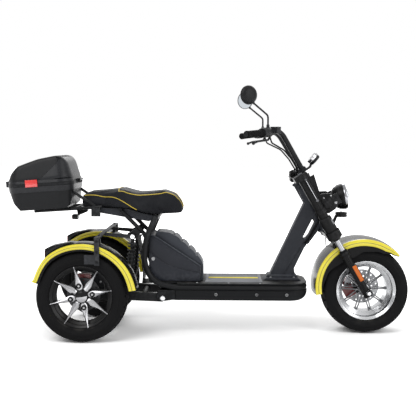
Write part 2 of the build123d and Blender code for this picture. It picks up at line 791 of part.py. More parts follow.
def fork_lowers():
    """Lower legs with the axle lugs, and the axle between them."""
    leg = Pos(leg_a, -leg_y, (lower_leg_top - 20) / 2) * Cylinder(lower_leg_r, lower_leg_top + 20)
    collar = Pos(leg_a, -leg_y, lower_leg_top - 8) * Cylinder(lower_leg_r + 3, 16)
    lug = Pos(0, -leg_y, 0) * Rot(90, 0, 0) * Cylinder(21, 2 * lower_leg_r - 6)
    legs = both_sides(leg + collar + lug)
    shaft = Rot(90, 0, 0) * Cylinder(axle_r, 2 * leg_y + 2 * lower_leg_r + 16)
    nut = Pos(0, -leg_y - lower_leg_r - 3, 0) * Rot(90, 0, 0) * Cylinder(15, 12)
    spacer = rod((0, -leg_y + lower_leg_r - 2, 0), (0, -front_hub_half - 0.5, 0), 14.0)
    return fork * (legs + shaft + both_sides(nut + spacer))


def fork_uppers():
    """Stanchions, upper tubes and the thick lower sleeves."""
    stanchion = Pos(leg_a, -leg_y, (lower_leg_top + leg_top) / 2) * Cylinder(stanchion_r, leg_top - lower_leg_top)
    upper = Pos(leg_a, -leg_y, (sleeve_top + leg_top) / 2) * Cylinder(upper_leg_r, leg_top - sleeve_top)
    sleeve = Pos(leg_a, -leg_y, (sleeve_bottom + sleeve_top) / 2) * Cylinder(sleeve_r, sleeve_top - sleeve_bottom)
    return fork * both_sides(stanchion + upper + sleeve)


def fork_clamps():
    """Lower and upper clamp plates joined by the steering stem."""
    span = 2 * leg_y + 2 * sleeve_r + 10
    low = Pos(-12, 0, sum(clamp_low) / 2) * Box(66, span - 60, clamp_low[1] - clamp_low[0])
    high = Pos(-12, 0, sum(clamp_high) / 2) * Box(78, span - 34, clamp_high[1] - clamp_high[0])
    low = low + both_sides(Pos(leg_a, -leg_y, sum(clamp_low) / 2) * Cylinder(sleeve_r + 6, clamp_low[1] - clamp_low[0]))
    high = high + both_sides(Pos(leg_a, -leg_y, sum(clamp_high) / 2)
                             * Cylinder(upper_leg_r + 8, clamp_high[1] - clamp_high[0]))
    stem = Pos(head_a, 0, (clamp_low[0] + clamp_high[1] + 24) / 2) * Cylinder(13, clamp_high[1] + 24 - clamp_low[0])
    nut = Pos(head_a, 0, clamp_high[1] + 8) * Cylinder(19, 16)
    return fork * (low + high + stem + nut)


keep("fork_lowers", fork_lowers())
keep("fork_uppers", fork_uppers())
keep("fork_clamps", fork_clamps() - nodes["fork_uppers"])

# Front mudguard ------------------------------------------------------------


def flank_line():
    """Lower edge of the front flanks, deepest beside the legs, as (angle, depth below the crown)."""
    steps = [(0.0, skirt), (0.13, 0.55 * flank_depth), (0.30, 0.74 * flank_depth), (0.46, flank_depth),
             (0.60, 0.92 * flank_depth), (0.82, 0.58 * flank_depth), (1.0, skirt)]
    first, last = front_fender_arc
    for share, depth in steps:
        angle = radians(first + share * (last - first))
        reach = front_fender_r - depth
        yield (reach * cos(angle), reach * sin(angle))


def front_guard():
    centre = front_axle * Pos(-front_fender_back, 0, front_fender_rise)
    band = fender(front_fender_r, front_fender_w, front_fender_crown, front_fender_arc, flank_depth)
    edge = list(flank_line())
    under = Polyline(edge[-1], (edge[-1][0], -front_fender_r), (edge[0][0], -front_fender_r), edge[0])
    below = slab([Spline(edge), under], -front_fender_w, front_fender_w)
    guard = centre * (band - below)
    pads = fork * both_sides(box((leg_a - 26, leg_a + 26), (-leg_y + lower_leg_r - 8, -front_fender_w / 2 + 1),
                                 (222, 246)))
    return guard + pads


keep("front_fender", front_guard() - nodes["fork_lowers"])


def fork_reflectors():
    pad = Pos(2, -leg_y - lower_leg_r - 1, 124) * Box(20, 10, 96)
    return fork * both_sides(pad)


keep("fork_reflectors", fork_reflectors() - nodes["fork_lowers"])


def front_caliper():
    """Caliper behind the left leg, over the disc."""
    body = box((-106, -46), (front_disc_y - 22, front_disc_y + 26), (-20, 44))
    slot = box((-disc_r - 5, -40), (front_disc_y - 4, front_disc_y + 4), (-22, 46))
    carrier = box((-84, leg_a), (front_disc_y + 14, leg_y), (40, 66))
    return fork * (body - slot + carrier)


keep("front_caliper", front_caliper() - nodes["fork_lowers"])

# Handlebar and controls ----------------------------------------------------
bar_foot = (-350.0, 72.0, 884.0)            # from the ground under the front axle
bar_knee = (-482.0, 130.0, 1105.0)
bar_end = (-675.0, 390.0, 1081.0)
bar_bend = 70.0


def on_bar(share, side):
    """Point on the straight grip run, from the knee (0) to the bar end (1)."""
    x, y, z = [a + share * (b - a) for a, b in zip(bar_knee, bar_end)]
    return (front_x + x, side * y, z)


def bar_piece(first, last, radius, side=-1):
    return rod(on_bar(first, side), on_bar(last, side), radius)


def handlebar():
    points = [(front_x + x, -y, z) for x, y, z in (bar_foot, bar_knee, bar_end)]
    half = tube(points, bar_r, [bar_bend])
    clamp = fork * Pos(18, -68, clamp_high[1] + 11) * Box(46, 44, 22)
    return both_sides(half + clamp)


grip_start = 0.56


def grips():
    sleeve = rod(on_bar(grip_start, -1), on_bar(1.0, -1), grip_r)
    cap = rod(on_bar(1.0, -1), on_bar(1.02, -1), grip_r - 3)
    return both_sides(sleeve + cap)


def controls():
    """Switch housings, lever brackets, levers and the brake fluid box."""
    housing = bar_piece(0.40, 0.55, 24.0)
    bracket = bar_piece(0.28, 0.39, 20.0)
    x, y, z = on_bar(0.30, -1)
    fluid = Pos(x + 26, y + 4, z + 8) * Rot(0, 0, -40) * Box(44, 34, 30)
    lever_path = [(x - 4, y + 2, z - 22), (x - 14, y - 16, z - 42), (x - 72, y - 96, z - 50), (x - 96, y - 130, z - 60)]
    lever = tube(lever_path, 5.5, [18.0, 60.0])
    root = rod((x, y, z), lever_path[0], 10.0)
    ball = Pos(*lever_path[-1]) * Sphere(8.5)
    return both_sides(housing + bracket + fluid + root + lever + ball)


keep("handlebar", handlebar() - nodes["fork_clamps"])
keep("grips", grips() - nodes["handlebar"])
keep("controls", controls() - nodes["handlebar"])

mirror_r = 50.0
mirror_depth = 24.0
mirror_yaw = 59.0
mirror_centre = (-654.0, 250.0, 1287.0)
stalk_rise = 77.0               # upright run of the stalk above the bar
stalk_r = 5.0


def mirrors():
    """Stalks and round heads, turned well inwards."""
    x, y, z = on_bar(0.385, -1)
    cx, cy, cz = mirror_centre
    head = Plane(origin=(front_x + cx, -cy, cz),
                 z_dir=(-cos(radians(mirror_yaw)), sin(radians(mirror_yaw)), 0))
    shell = head * Cylinder(mirror_r, mirror_depth)
    back_edge = shell.edges().filter_by(GeomType.CIRCLE).sort_by(Axis.Y)[0]
    shell = fillet(back_edge, 16.0)
    anchor = (front_x + cx + 14, -cy - 4, cz - mirror_r + 14)
    stalk = tube([(x, y, z + 18), (x, y, bar_knee[2] + stalk_rise), anchor], stalk_r, [18.0])
    base = rod((x, y, z), (x, y, z + 40), 10.0)
    return both_sides(shell + stalk + base)


keep("mirrors", mirrors() - nodes["handlebar"] - nodes["controls"])

gauge_face = (-300.0, 965.0)
gauge_r = 34.0
gauge_depth = 33.0
gauge_tilt = 49.0
stem_r = 7.0


def gauge():
    """Round dial facing the rider on a short stem from the upper clamp."""
    back = Plane(origin=(front_x + gauge_face[0], 0, gauge_face[1]),
                 z_dir=(sin(radians(gauge_tilt)), 0, -cos(radians(gauge_tilt))))
    can = back * Pos(0, 0, gauge_depth / 2) * Cylinder(gauge_r, gauge_depth)
    x, z = gauge_face
    foot = in_fork(14, 0, clamp_high[1] - 1)
    stem = tube([(front_x + x - 2, 0, z - 30), (front_x + x - 6, 0, z - 60), foot], stem_r, [30.0])
    return can + stem


keep("gauge", gauge() - nodes["fork_clamps"])

# Headlight and horn --------------------------------------------------------
lamp_r = 73.0
lamp_depth = 76.0
lamp_bulge = 26.0
lamp_tilt = 9.0
lamp_face = (-114.0, 751.0)
lamp_wall = 3.0
lamp_rim = 7.0


def headlight():
    """Bowl and rim, open at the front for the lens."""
    edge = lamp_r - lamp_rim
    bowl = turned([(0, -lamp_depth), (30, -lamp_depth + 4), (54, -lamp_depth + 20), (66, -lamp_depth + 44),
                   (lamp_r, -lamp_rim), (lamp_r, lamp_rim), (edge, lamp_rim), (edge, -lamp_rim),
                   (66 - lamp_wall, -lamp_depth + 42), (51, -lamp_depth + 24), (30, -lamp_depth + 8),
                   (0, -lamp_depth + 4)])
    return lamp_frame * bowl


lamp_frame = Location((front_x + lamp_face[0], 0, lamp_face[1])) * Rot(0, 90 - lamp_tilt, 0)


def headlight_lens():
    """Clear cap, part of a sphere, set in the rim."""
    edge = lamp_r - lamp_rim
    dome_r = (edge ** 2 + lamp_bulge ** 2) / (2 * lamp_bulge)
    dome = Pos(0, 0, lamp_bulge - dome_r) * Sphere(dome_r)
    disc = Pos(0, 0, (lamp_bulge - lamp_rim) / 2) * Cylinder(edge, lamp_bulge + lamp_rim)
    return lamp_frame * (disc & dome)


def lamp_ears():
    """Side plates from the fork tubes forward to the headlight bolts."""
    y = leg_y - upper_leg_r - 4
    ear = box((leg_a, 60), (-y, -y + 6), (500, 700))
    shield = fork * (ear - Pos(80, -y, 700) * Rot(0, 12, 0) * Box(40, 40, 300))
    reach = fork * box((40, 118), (-y, -y + 6), (492, 552))
    bolt = cross_rod(front_x - 178, 722.0, -y, -lamp_r + 14, 9.0)
    tie = fork * Pos(leg_a, -leg_y, 510) * Cylinder(upper_leg_r + 5, 24)
    return both_sides(shield + reach + bolt + tie)


def horn():
    can = fork * Pos(92, 0, 420) * Rot(0, rake, 0) * Cylinder(33, 26)
    strap = fork * plate([(6, 380), (18, 380), (72, 424), (72, 434), (62, 434), (6, 392)], -9, 9)
    return can + strap


keep("headlight", headlight())
keep("headlight_lens", headlight_lens())
keep("lamp_ears", lamp_ears() - nodes["fork_uppers"] - nodes["headlight"])
keep("horn", horn() - nodes["fork_clamps"])


def brake_hose():
    """Front brake hose: down from the lower clamp and along the fork to the caliper."""
    points = [in_fork(-30, 104, 346), in_fork(-44, 116, 318), in_fork(-62, 127, 278), in_fork(-54, 128, 200),
              in_fork(-62, 126, 120), in_fork(-74, 92, 60)]
    return tube(points, hose_r, [20.0, 60.0, 60.0, 40.0])


hose_r = 3.0
cable_r = 4.0
loom_r = 6.0


def behind_riser(share, clear):
    """Point behind the rising part of the bar, from its foot (0) to its knee (1)."""
    x, y, z = [a + share * (b - a) for a, b in zip(bar_foot, bar_knee)]
    lean = atan2(bar_foot[0] - bar_knee[0], bar_knee[2] - bar_foot[2])
    return (front_x + x - clear * cos(lean), -y, z - clear * sin(lean))


def bar_cable():
    """Cable from under the switch housing, behind the riser and down to the upper clamp."""
    x, y, z = on_bar(0.33, -1)
    points = [(x, y + 6, z - 20), (x + 12, y + 16, z - 56), behind_riser(0.62, 34), behind_riser(0.35, 22),
              behind_riser(0.12, 22), in_fork(-24, -60, clamp_high[1] - 1)]
    return tube(points, cable_r, [22.0, 40.0, 60.0, 12.0])


def loom():
    """Wiring loom from the head tube down the right of the post to its front."""
    side = post_w / 2 + loom_r + 2
    points = [(front_x - 262, -head_r + 2, 646.0), (front_x - 258, -side - 4, 618.0),
              (front_x - 296, -side - 4, 552.0), (front_x - 322, -side, 505.0), (front_x - 345, -18, 478.0)]
    return tube(points, loom_r, [14.0, 60.0, 30.0])


keep("cables", brake_hose() + both_sides(bar_cable()) - nodes["front_caliper"] - nodes["fork_clamps"]
     - nodes["controls"] - nodes["handlebar"])
keep("loom", loom() - nodes["front_post"])
for name, shape in nodes.items():
    export_step(shape, f"parts/{name}.step")
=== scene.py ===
from math import atan2, cos, degrees, hypot, pi, radians, sin

import bmesh
import bpy
from mathutils import Matrix, Vector
from mathutils.bvhtree import BVHTree


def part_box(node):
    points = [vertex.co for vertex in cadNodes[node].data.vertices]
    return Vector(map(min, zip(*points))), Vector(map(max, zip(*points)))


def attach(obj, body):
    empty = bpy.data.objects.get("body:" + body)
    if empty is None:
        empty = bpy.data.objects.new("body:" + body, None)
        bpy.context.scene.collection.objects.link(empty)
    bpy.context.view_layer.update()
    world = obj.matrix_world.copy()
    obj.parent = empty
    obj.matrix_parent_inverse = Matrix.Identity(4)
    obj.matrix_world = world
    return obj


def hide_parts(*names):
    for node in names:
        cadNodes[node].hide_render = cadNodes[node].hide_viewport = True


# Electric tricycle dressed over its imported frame: metres, X forward, Y left, Z up.
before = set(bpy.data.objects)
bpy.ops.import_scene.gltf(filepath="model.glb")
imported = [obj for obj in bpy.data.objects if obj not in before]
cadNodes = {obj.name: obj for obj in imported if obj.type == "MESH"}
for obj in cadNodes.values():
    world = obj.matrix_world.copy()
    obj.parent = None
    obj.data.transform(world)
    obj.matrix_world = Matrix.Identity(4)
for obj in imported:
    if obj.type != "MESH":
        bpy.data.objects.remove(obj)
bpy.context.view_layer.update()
scene = bpy.context.scene
print("frame loaded with", len(cadNodes), "nodes")


def middle(node):
    low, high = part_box(node)
    return (low + high) / 2


def shift(x, y, z):
    return Matrix.Translation((x, y, z))


def turn(angle, axis):
    return Matrix.Rotation(radians(angle), 4, axis)


frontHub = middle("front_tyre")
rearHub = {"right": middle("rear_tyre_right"), "left": middle("rear_tyre_left")}
rearX = rearHub["right"].x
forkPlace = Matrix.Translation(frontHub) @ turn(-30, "Y")      # X ahead of the fork, Z up it
casePlace = shift(rearX - 0.071, 0, 0.832) @ turn(-4, "Y")
sides = {"right": -1, "left": 1}


# Place on the right-hand side whose Z points out to the right.
def rightSide(x, y, z):
    return shift(x, -y, z) @ turn(90, "X")


# Place at a radius and an angle about Z.
def around(radius, angle, z):
    return shift(radius * cos(radians(angle)), radius * sin(radians(angle)), z)


# Side view points, in millimetres behind or ahead of a wheel's centre and above the ground.
def fromRear(points):
    return [(rearX + x / 1000, z / 1000) for x, z in points]


def fromFront(points):
    return [(frontHub.x + x / 1000, z / 1000) for x, z in points]


# Shader groups

# Screen colour, 0 to 255, as the value a shader takes.
def linear(colour):
    made = [v / 12.92 if v <= 0.04045 else ((v + 0.055) / 1.055) ** 2.4 for v in [c / 255 for c in colour]]
    return (*made, 1.0)


def addNode(tree, kind, values=None, **settings):
    node = tree.nodes.new("ShaderNode" + kind)
    for key, value in settings.items():
        setattr(node, key, value)
    for key, value in (values or {}).items():
        if isinstance(value, bpy.types.NodeSocket):
            tree.links.new(value, node.inputs[key])
        else:
            node.inputs[key].default_value = value
    return node


def combined(tree, operation, first, second, kind="Math"):
    return addNode(tree, kind, {0: first, 1: second}, operation=operation).outputs[0]


def mapped(tree, value, low, high, toLow=0.0, toHigh=1.0):
    return addNode(tree, "MapRange", {0: value, 1: low, 2: high, 3: toLow, 4: toHigh}).outputs[0]


def noiseOver(tree, place, scale, detail, roughness=0.5):
    return addNode(tree, "TexNoise", {"Vector": place, "Scale": scale, "Detail": detail,
        "Roughness": roughness})


# A new group: its tree, what it is given, its object coordinates and what it puts out.
def startGroup(name, inputs, outputs):
    tree = bpy.data.node_groups.new(name, "ShaderNodeTree")
    for label, value in inputs.items():
        kind = "NodeSocketVector" if hasattr(value, "__len__") else "NodeSocketFloat"
        tree.interface.new_socket(name=label, in_out="INPUT", socket_type=kind).default_value = value
    for label in outputs:
        tree.interface.new_socket(name=label, in_out="OUTPUT", socket_type="NodeSocketFloat")
    given, out = tree.nodes.new("NodeGroupInput").outputs, tree.nodes.new("NodeGroupOutput").inputs
    return tree, given, addNode(tree, "TexCoord").outputs["Object"], out


def toneGroup():
    tree, given, place, out = startGroup("unevenTone", {"Scale": 4.0}, ["Mask"])
    noise = noiseOver(tree, place, given["Scale"], 4.0).outputs[0]
    tree.links.new(mapped(tree, noise, 0.36, 0.64), out["Mask"])
    return tree


# Spark-eroded plastic and powder coat: small cells over a softer noise.
def grainGroup():
    tree, given, place, out = startGroup("mouldGrain", {"Scale": 900.0}, ["Height", "Mask"])
    cells = addNode(tree, "TexVoronoi", {"Vector": place, "Scale": given["Scale"]}, feature="SMOOTH_F1")
    noise = noiseOver(tree, place, combined(tree, "MULTIPLY", given["Scale"], 0.23), 5.0).outputs[0]
    both = combined(tree, "ADD", cells.outputs[0], noise)
    tree.links.new(both, out["Height"])
    tree.links.new(mapped(tree, both, 0.55, 1.05), out["Mask"])
    return tree


# Leather: pebbles between creases, with fine pores.
def hideGroup():
    tree, given, place, out = startGroup("leatherHide", {"Scale": 380.0}, ["Height", "Mask"])
    bend = noiseOver(tree, place, 40.0, 3.0).outputs[1]
    moved = addNode(tree, "VectorMath", {0: bend, "Scale": 0.006}, operation="SCALE").outputs[0]
    bent = combined(tree, "ADD", place, moved, "VectorMath")
    crease = addNode(tree, "TexVoronoi", {"Vector": bent, "Scale": given["Scale"]},
        feature="DISTANCE_TO_EDGE")
    pebble = mapped(tree, crease.outputs[0], 0.0, 0.28)
    pores = noiseOver(tree, bent, combined(tree, "MULTIPLY", given["Scale"], 4.0), 3.0).outputs[0]
    both = combined(tree, "ADD", pebble, combined(tree, "MULTIPLY", pores, 0.25))
    tree.links.new(both, out["Height"])
    tree.links.new(mapped(tree, both, 0.1, 1.1), out["Mask"])
    return tree


# Machined metal: fine lines, drawn out along one direction.
def brushedGroup():
    tree, given, place, out = startGroup("toolMarks", {"Scale": 60.0, "Stretch": (1.0, 1.0, 24.0)},
        ["Height", "Mask"])
    drawn = combined(tree, "MULTIPLY", place, given["Stretch"], "VectorMath")
    noise = noiseOver(tree, drawn, given["Scale"], 6.0, 0.62).outputs[0]
    tree.links.new(noise, out["Height"])
    tree.links.new(mapped(tree, noise, 0.38, 0.62), out["Mask"])
    return tree


# Rubbed edges: convex corners, broken up by noise.
def wearGroup():
    tree, given, place, out = startGroup("rubbedEdges", {"Amount": 0.5, "Scale": 60.0}, ["Mask"])
    corner = mapped(tree, addNode(tree, "NewGeometry").outputs["Pointiness"], 0.53, 0.62)
    broken = mapped(tree, noiseOver(tree, place, given["Scale"], 5.0).outputs[0], 0.42, 0.6)
    worn = combined(tree, "MULTIPLY", corner, broken)
    tree.links.new(combined(tree, "MULTIPLY", worn, given["Amount"]), out["Mask"])
    return tree


# Road dust where the surface faces up.
def dustGroup():
    tree, given, place, out = startGroup("settledDust", {"Amount": 0.3, "Scale": 25.0}, ["Mask"])
    faced = addNode(tree, "SeparateXYZ", {0: addNode(tree, "NewGeometry").outputs["Normal"]}).outputs["Z"]
    patch = mapped(tree, noiseOver(tree, place, given["Scale"], 6.0).outputs[0], 0.4, 0.75)
    laid = combined(tree, "MULTIPLY", mapped(tree, faced, 0.1, 1.0), patch)
    tree.links.new(combined(tree, "MULTIPLY", laid, given["Amount"]), out["Mask"])
    return tree


shaderGroups = {"tone": toneGroup(), "grain": grainGroup(), "hide": hideGroup(), "brushed": brushedGroup(),
    "wear": wearGroup(), "dust": dustGroup()}
toneScale = 6.0
dustColour = linear((150, 146, 138))
plainSockets = {"metallic": "Metallic", "specular": "Specular IOR Level", "coat": "Coat Weight",
    "coatRough": "Coat Roughness", "clear": "Transmission Weight", "ior": "IOR"}
finishes = {}


def useGroup(tree, key, values):
    node = tree.nodes.new("ShaderNodeGroup")
    node.node_tree = shaderGroups[key]
    for label, value in values.items():
        node.inputs[label].default_value = value
    return node.outputs


def blendColour(tree, mask, first, second):
    return addNode(tree, "Mix", {0: mask, 6: first, 7: second}, data_type="RGBA").outputs[2]


# One finish: two close tones, a relief, rubbed edges and dust over a Principled shader.
def addFinish(name, colour, rough, second=None, relief=None, stretch=None, bump=0.35, wear=None, dust=0.0,
        **plain):
    material = bpy.data.materials.new(name)
    material.use_nodes = True
    tree = material.node_tree
    shader = tree.nodes["Principled BSDF"]
    for key, value in plain.items():
        shader.inputs[plainSockets[key]].default_value = value
    mask = useGroup(tree, "tone", {"Scale": toneScale})["Mask"]
    shown = blendColour(tree, mask, linear(colour), linear(second or [0.88 * v for v in colour]))
    if relief:
        kind, scale, depth = relief
        made = useGroup(tree, kind, {"Scale": scale, "Stretch": stretch} if stretch else {"Scale": scale})
        mask = made["Mask"]
        bumped = addNode(tree, "Bump", {"Height": made["Height"], "Strength": bump, "Distance": depth})
        tree.links.new(bumped.outputs["Normal"], shader.inputs["Normal"])
    if wear:
        shown = blendColour(tree, useGroup(tree, "wear", {"Amount": wear[0]})["Mask"], shown,
            linear(wear[1]))
    if dust:
        shown = blendColour(tree, useGroup(tree, "dust", {"Amount": dust})["Mask"], shown, dustColour)
    tree.links.new(shown, shader.inputs["Base Color"])
    tree.links.new(mapped(tree, mask, 0.0, 1.0, *rough), shader.inputs["Roughness"])
    finishes[name] = material


# Name, colour and roughness at the two ends of the mask, then what else differs from plain.
addFinish("tyreRubber", (22, 22, 23), (0.7, 0.88), specular=0.1, relief=("grain", 700, 0.0004), bump=0.4,
    dust=0.1)
# Satin black; on the lid's panel behind the crease it is painted shade.
addFinish("satinBlackAndLidShade", (19, 20, 22), (0.32, 0.45), specular=0.15, relief=("grain", 1100, 0.0002),
    wear=(0.35, (92, 94, 98)), dust=0.06)
addFinish("forkBlack", (13, 13, 14), (0.3, 0.42), specular=0.13, relief=("grain", 900, 0.0003), wear=(0.3,
    (96, 97, 100)))
addFinish("satinGrey", (38, 39, 42), (0.42, 0.56), specular=0.18, relief=("grain", 1000, 0.0002),
    wear=(0.35, (110, 112, 116)), dust=0.06)
addFinish("castGrey", (46, 48, 53), (0.42, 0.6), second=(40, 42, 47), specular=0.18, relief=("grain", 520,
    0.0004), bump=0.5, wear=(0.5, (112, 116, 124)))
addFinish("coverPlastic", (38, 40, 46), (0.3, 0.44), second=(33, 35, 41), specular=0.18, relief=("grain",
    900, 0.0003), wear=(0.3, (96, 100, 108)), dust=0.06)
# Grey hump plastic; on the cover's ridge it is a painted highlight.
addFinish("humpPlasticAndRidgeHighlight", (62, 65, 71), (0.35, 0.5), second=(54, 57, 63), specular=0.18, relief=("grain",
    900, 0.0003), wear=(0.35, (140, 144, 150)))
addFinish("deckPlastic", (18, 19, 21), (0.42, 0.58), specular=0.12, relief=("grain", 760, 0.0004),
    wear=(0.3, (84, 86, 90)), dust=0.12)
addFinish("matRubber", (128, 130, 134), (0.6, 0.8), second=(112, 114, 118), specular=0.2, relief=("grain",
    600, 0.0004), dust=0.2)
addFinish("matYellow", (214, 198, 46), (0.55, 0.7), specular=0.3, relief=("grain", 600, 0.0003), dust=0.15)
addFinish("seatLeather", (32, 33, 36), (0.42, 0.62), second=(27, 28, 31), specular=0.07, relief=("hide",
    330, 0.0007), bump=0.55, dust=0.05)
addFinish("pipingVinyl", (206, 180, 64), (0.4, 0.55), specular=0.4, relief=("hide", 700, 0.0003))
addFinish("casePlastic", (32, 33, 36), (0.22, 0.34), second=(27, 28, 31), specular=0.18, relief=("grain",
    820, 0.0004), bump=0.45, wear=(0.3, (80, 82, 88)), dust=0.05)
addFinish("glossBlack", (12, 12, 13), (0.2, 0.3), specular=0.1, coat=0.11, coatRough=0.05, dust=0.04)
addFinish("flankBlack", (15, 15, 16), (0.3, 0.45), specular=0.1, dust=0.04)
addFinish("glossYellow", (228, 214, 38), (0.3, 0.4), second=(220, 204, 34), specular=0.45, coat=0.6,
    coatRough=0.08)
addFinish("pinLine", (96, 84, 18), (0.35, 0.45), specular=0.4, coat=0.4, coatRough=0.1)
# Black alloy; on the upper half of the rear caps it is painted shade.
addFinish("blackAlloyAndCapShade", (14, 14, 15), (0.3, 0.42), specular=0.12, coat=0.12, coatRough=0.15, wear=(0.3,
    (110, 110, 112)), dust=0.06)
addFinish("machinedFace", (178, 178, 180), (0.14, 0.28), second=(140, 140, 143), metallic=1,
    relief=("brushed", 90, 0.0002), stretch=(1, 1, 9), bump=0.25)
addFinish("polishedAlloy", (200, 201, 203), (0.16, 0.3), second=(158, 159, 162), metallic=1,
    relief=("brushed", 30, 0.0001), stretch=(1, 6, 1), bump=0.05)
addFinish("brightChrome", (228, 229, 231), (0.05, 0.1), second=(214, 216, 219), metallic=1)
addFinish("forkChrome", (160, 161, 164), (0.08, 0.16), second=(118, 119, 122), metallic=1)
addFinish("spokeSteel", (126, 127, 129), (0.22, 0.36), second=(104, 105, 107), metallic=1)
addFinish("discSteel", (154, 155, 157), (0.25, 0.4), second=(126, 127, 130), metallic=1, relief=("brushed",
    70, 0.0002), stretch=(6, 1, 6), bump=0.2)
addFinish("darkDisc", (62, 62, 64), (0.35, 0.5), second=(50, 50, 52), metallic=0.6, relief=("brushed", 70,
    0.0002), stretch=(6, 1, 6), bump=0.2)
addFinish("darkSteel", (96, 97, 100), (0.2, 0.34), second=(80, 81, 84), metallic=1)
addFinish("zincSteel", (168, 169, 170), (0.28, 0.42), second=(140, 141, 143), metallic=1, relief=("grain",
    900, 0.0002))
addFinish("caliperRed", (122, 22, 26), (0.35, 0.45), second=(100, 18, 22), specular=0.45, coat=0.4,
    coatRough=0.15, wear=(0.3, (170, 90, 88)))
addFinish("redLens", (226, 36, 30), (0.12, 0.2), second=(206, 24, 20), specular=0.5, coat=0.7,
    coatRough=0.05, relief=("grain", 300, 0.0003))
addFinish("amberLens", (208, 104, 4), (0.15, 0.25), second=(192, 92, 2), specular=0.25, coat=0.25,
    coatRough=0.06, relief=("grain", 420, 0.0004))
addFinish("lampGlass", (244, 247, 248), (0.02, 0.04), clear=1, ior=1.45)
addFinish("mirrorGlass", (214, 220, 224), (0.02, 0.04), second=(206, 212, 217), metallic=1)
addFinish("gripRubber", (17, 17, 18), (0.6, 0.78), specular=0.08, relief=("grain", 800, 0.0004), bump=0.5)
addFinish("switchPlastic", (32, 33, 35), (0.4, 0.55), specular=0.18, relief=("grain", 900, 0.0002),
    wear=(0.3, (92, 94, 98)))
addFinish("dialFace", (18, 19, 21), (0.3, 0.4), specular=0.4)
addFinish("dialMark", (226, 228, 230), (0.4, 0.5))
addFinish("dialGlass", (250, 251, 252), (0.02, 0.04), clear=1, ior=1.1)
addFinish("batteryShell", (30, 31, 33), (0.5, 0.65), relief=("grain", 700, 0.0003))
print("finishes made:", len(finishes))


# Shape helpers

def paint(shape, material):
    for face in shape.faces:
        face.material_index = material
    return shape


def placed(shape, place):
    shape.transform(place)
    bmesh.ops.recalc_face_normals(shape, faces=shape.faces)
    return shape


# Radius and height pairs turned about local Z, in millimetres unless the unit is 1.
def lathe(profile, place=Matrix(), steps=48, closed=False, span=360.0, start=0.0, material=0, unit=0.001):
    shape = bmesh.new()
    first = radians(start)
    ring = [shape.verts.new((unit * r * cos(first), unit * r * sin(first), unit * h)) for r, h in profile]
    pairs = list(zip(ring, ring[1:])) + ([(ring[-1], ring[0])] if closed else [])
    edges = [shape.edges.new(pair) for pair in pairs]
    bmesh.ops.spin(shape, geom=ring + edges, cent=(0, 0, 0), axis=(0, 0, 1), angle=radians(span),
        steps=steps, use_merge=span == 360.0, use_duplicate=False)
    bmesh.ops.remove_doubles(shape, verts=shape.verts, dist=1e-6)
    return placed(paint(shape, material), place)


def bevelled(shape, edges, width, segments):
    bmesh.ops.bevel(shape, geom=edges, offset=width, offset_type="OFFSET", segments=segments, profile=0.5,
        affect="EDGES", material=-1, clamp_overlap=True)
    return shape


def softenEdges(shape, width, segments=2, angle=25.0):
    hard = [e for e in shape.edges if len(e.link_faces) == 2 and e.calc_face_angle(0.0) > radians(angle)]
    return bevelled(shape, hard, width, segments) if width else shape


# All faces carried along a vector into a closed form.
def thickened(shape, vec):
    grown = bmesh.ops.extrude_face_region(shape, geom=shape.faces[:])
    moved = [g for g in grown["geom"] if isinstance(g, bmesh.types.BMVert)]
    bmesh.ops.translate(shape, verts=moved, vec=vec)
    bmesh.ops.recalc_face_normals(shape, faces=shape.faces)
    return shape


# Side view outline, X and Z pairs, carried along Y from low to high.
def prism(outline, low, high, place=Matrix(), edge=0.0, segments=2, material=0):
    shape = bmesh.new()
    shape.faces.new([shape.verts.new((x, low, z)) for x, z in outline])
    softenEdges(thickened(shape, (0, high - low, 0)), edge, segments)
    return placed(paint(shape, material), place)


def block(size, place=Matrix(), edge=0.0, segments=2, material=0):
    shape = bmesh.new()
    bmesh.ops.create_cube(shape, size=1.0)
    bmesh.ops.scale(shape, vec=size, verts=shape.verts)
    return placed(paint(softenEdges(shape, edge, segments), material), place)


# Round tube on a smooth line through the run of points.
def tubeAlong(points, radius, order=3, sides=3, material=0):
    line = bpy.data.curves.new("line", "CURVE")
    line.dimensions = "3D"
    line.bevel_depth = radius
    line.bevel_resolution = sides
    line.resolution_u = 8
    line.use_fill_caps = True
    spline = line.splines.new("NURBS")
    spline.points.add(len(points) - 1)
    for point, at in zip(spline.points, points):
        point.co = (*at, 1.0)
    spline.order_u = min(order, len(points))
    spline.use_endpoint_u = True
    holder = bpy.data.objects.new("line", line)
    mesh = bpy.data.meshes.new_from_object(holder)
    shape = bmesh.new()
    shape.from_mesh(mesh)
    bpy.data.objects.remove(holder)
    bpy.data.meshes.remove(mesh)
    bpy.data.curves.remove(line)
    bmesh.ops.remove_doubles(shape, verts=shape.verts, dist=1e-6)
    return placed(paint(shape, material), Matrix())


# Place at start whose Z points to end.
def aimed(start, end):
    run = Vector(end) - Vector(start)
    return Matrix.Translation(start) @ run.to_track_quat("Z", "Y").to_matrix().to_4x4()


# Round bar in metres, with its rims eased.
def rod(start, end, radius, edge, material=1):
    length = (Vector(end) - Vector(start)).length
    side = [(radius - edge, 0), (radius, edge), (radius, length - edge), (radius - edge, length)]
    return lathe([(0, 0), *side, (0, length)], aimed(start, end), 24, material=material, unit=1)


# Hexagon head on a washer, in millimetres, standing up local Z.
def bolt(place, radius, height, material=1):
    washer = [(0, 0), (1.35 * radius, 0), (1.35 * radius, 0.25 * height), (0, 0.25 * height)]
    head = [(0, 0.2 * height), (radius, 0.2 * height), (radius, 0.85 * height), (0.8 * radius, height), (0,
        height)]
    return gather(lathe(washer, place, 16, material=material), lathe(head, place, 6, material=material))


# All shapes in the first one.
def gather(*shapes):
    whole = shapes[0]
    for shape in shapes[1:]:
        mesh = bpy.data.meshes.new("part")
        shape.to_mesh(mesh)
        shape.free()
        whole.from_mesh(mesh)
        bpy.data.meshes.remove(mesh)
    return whole


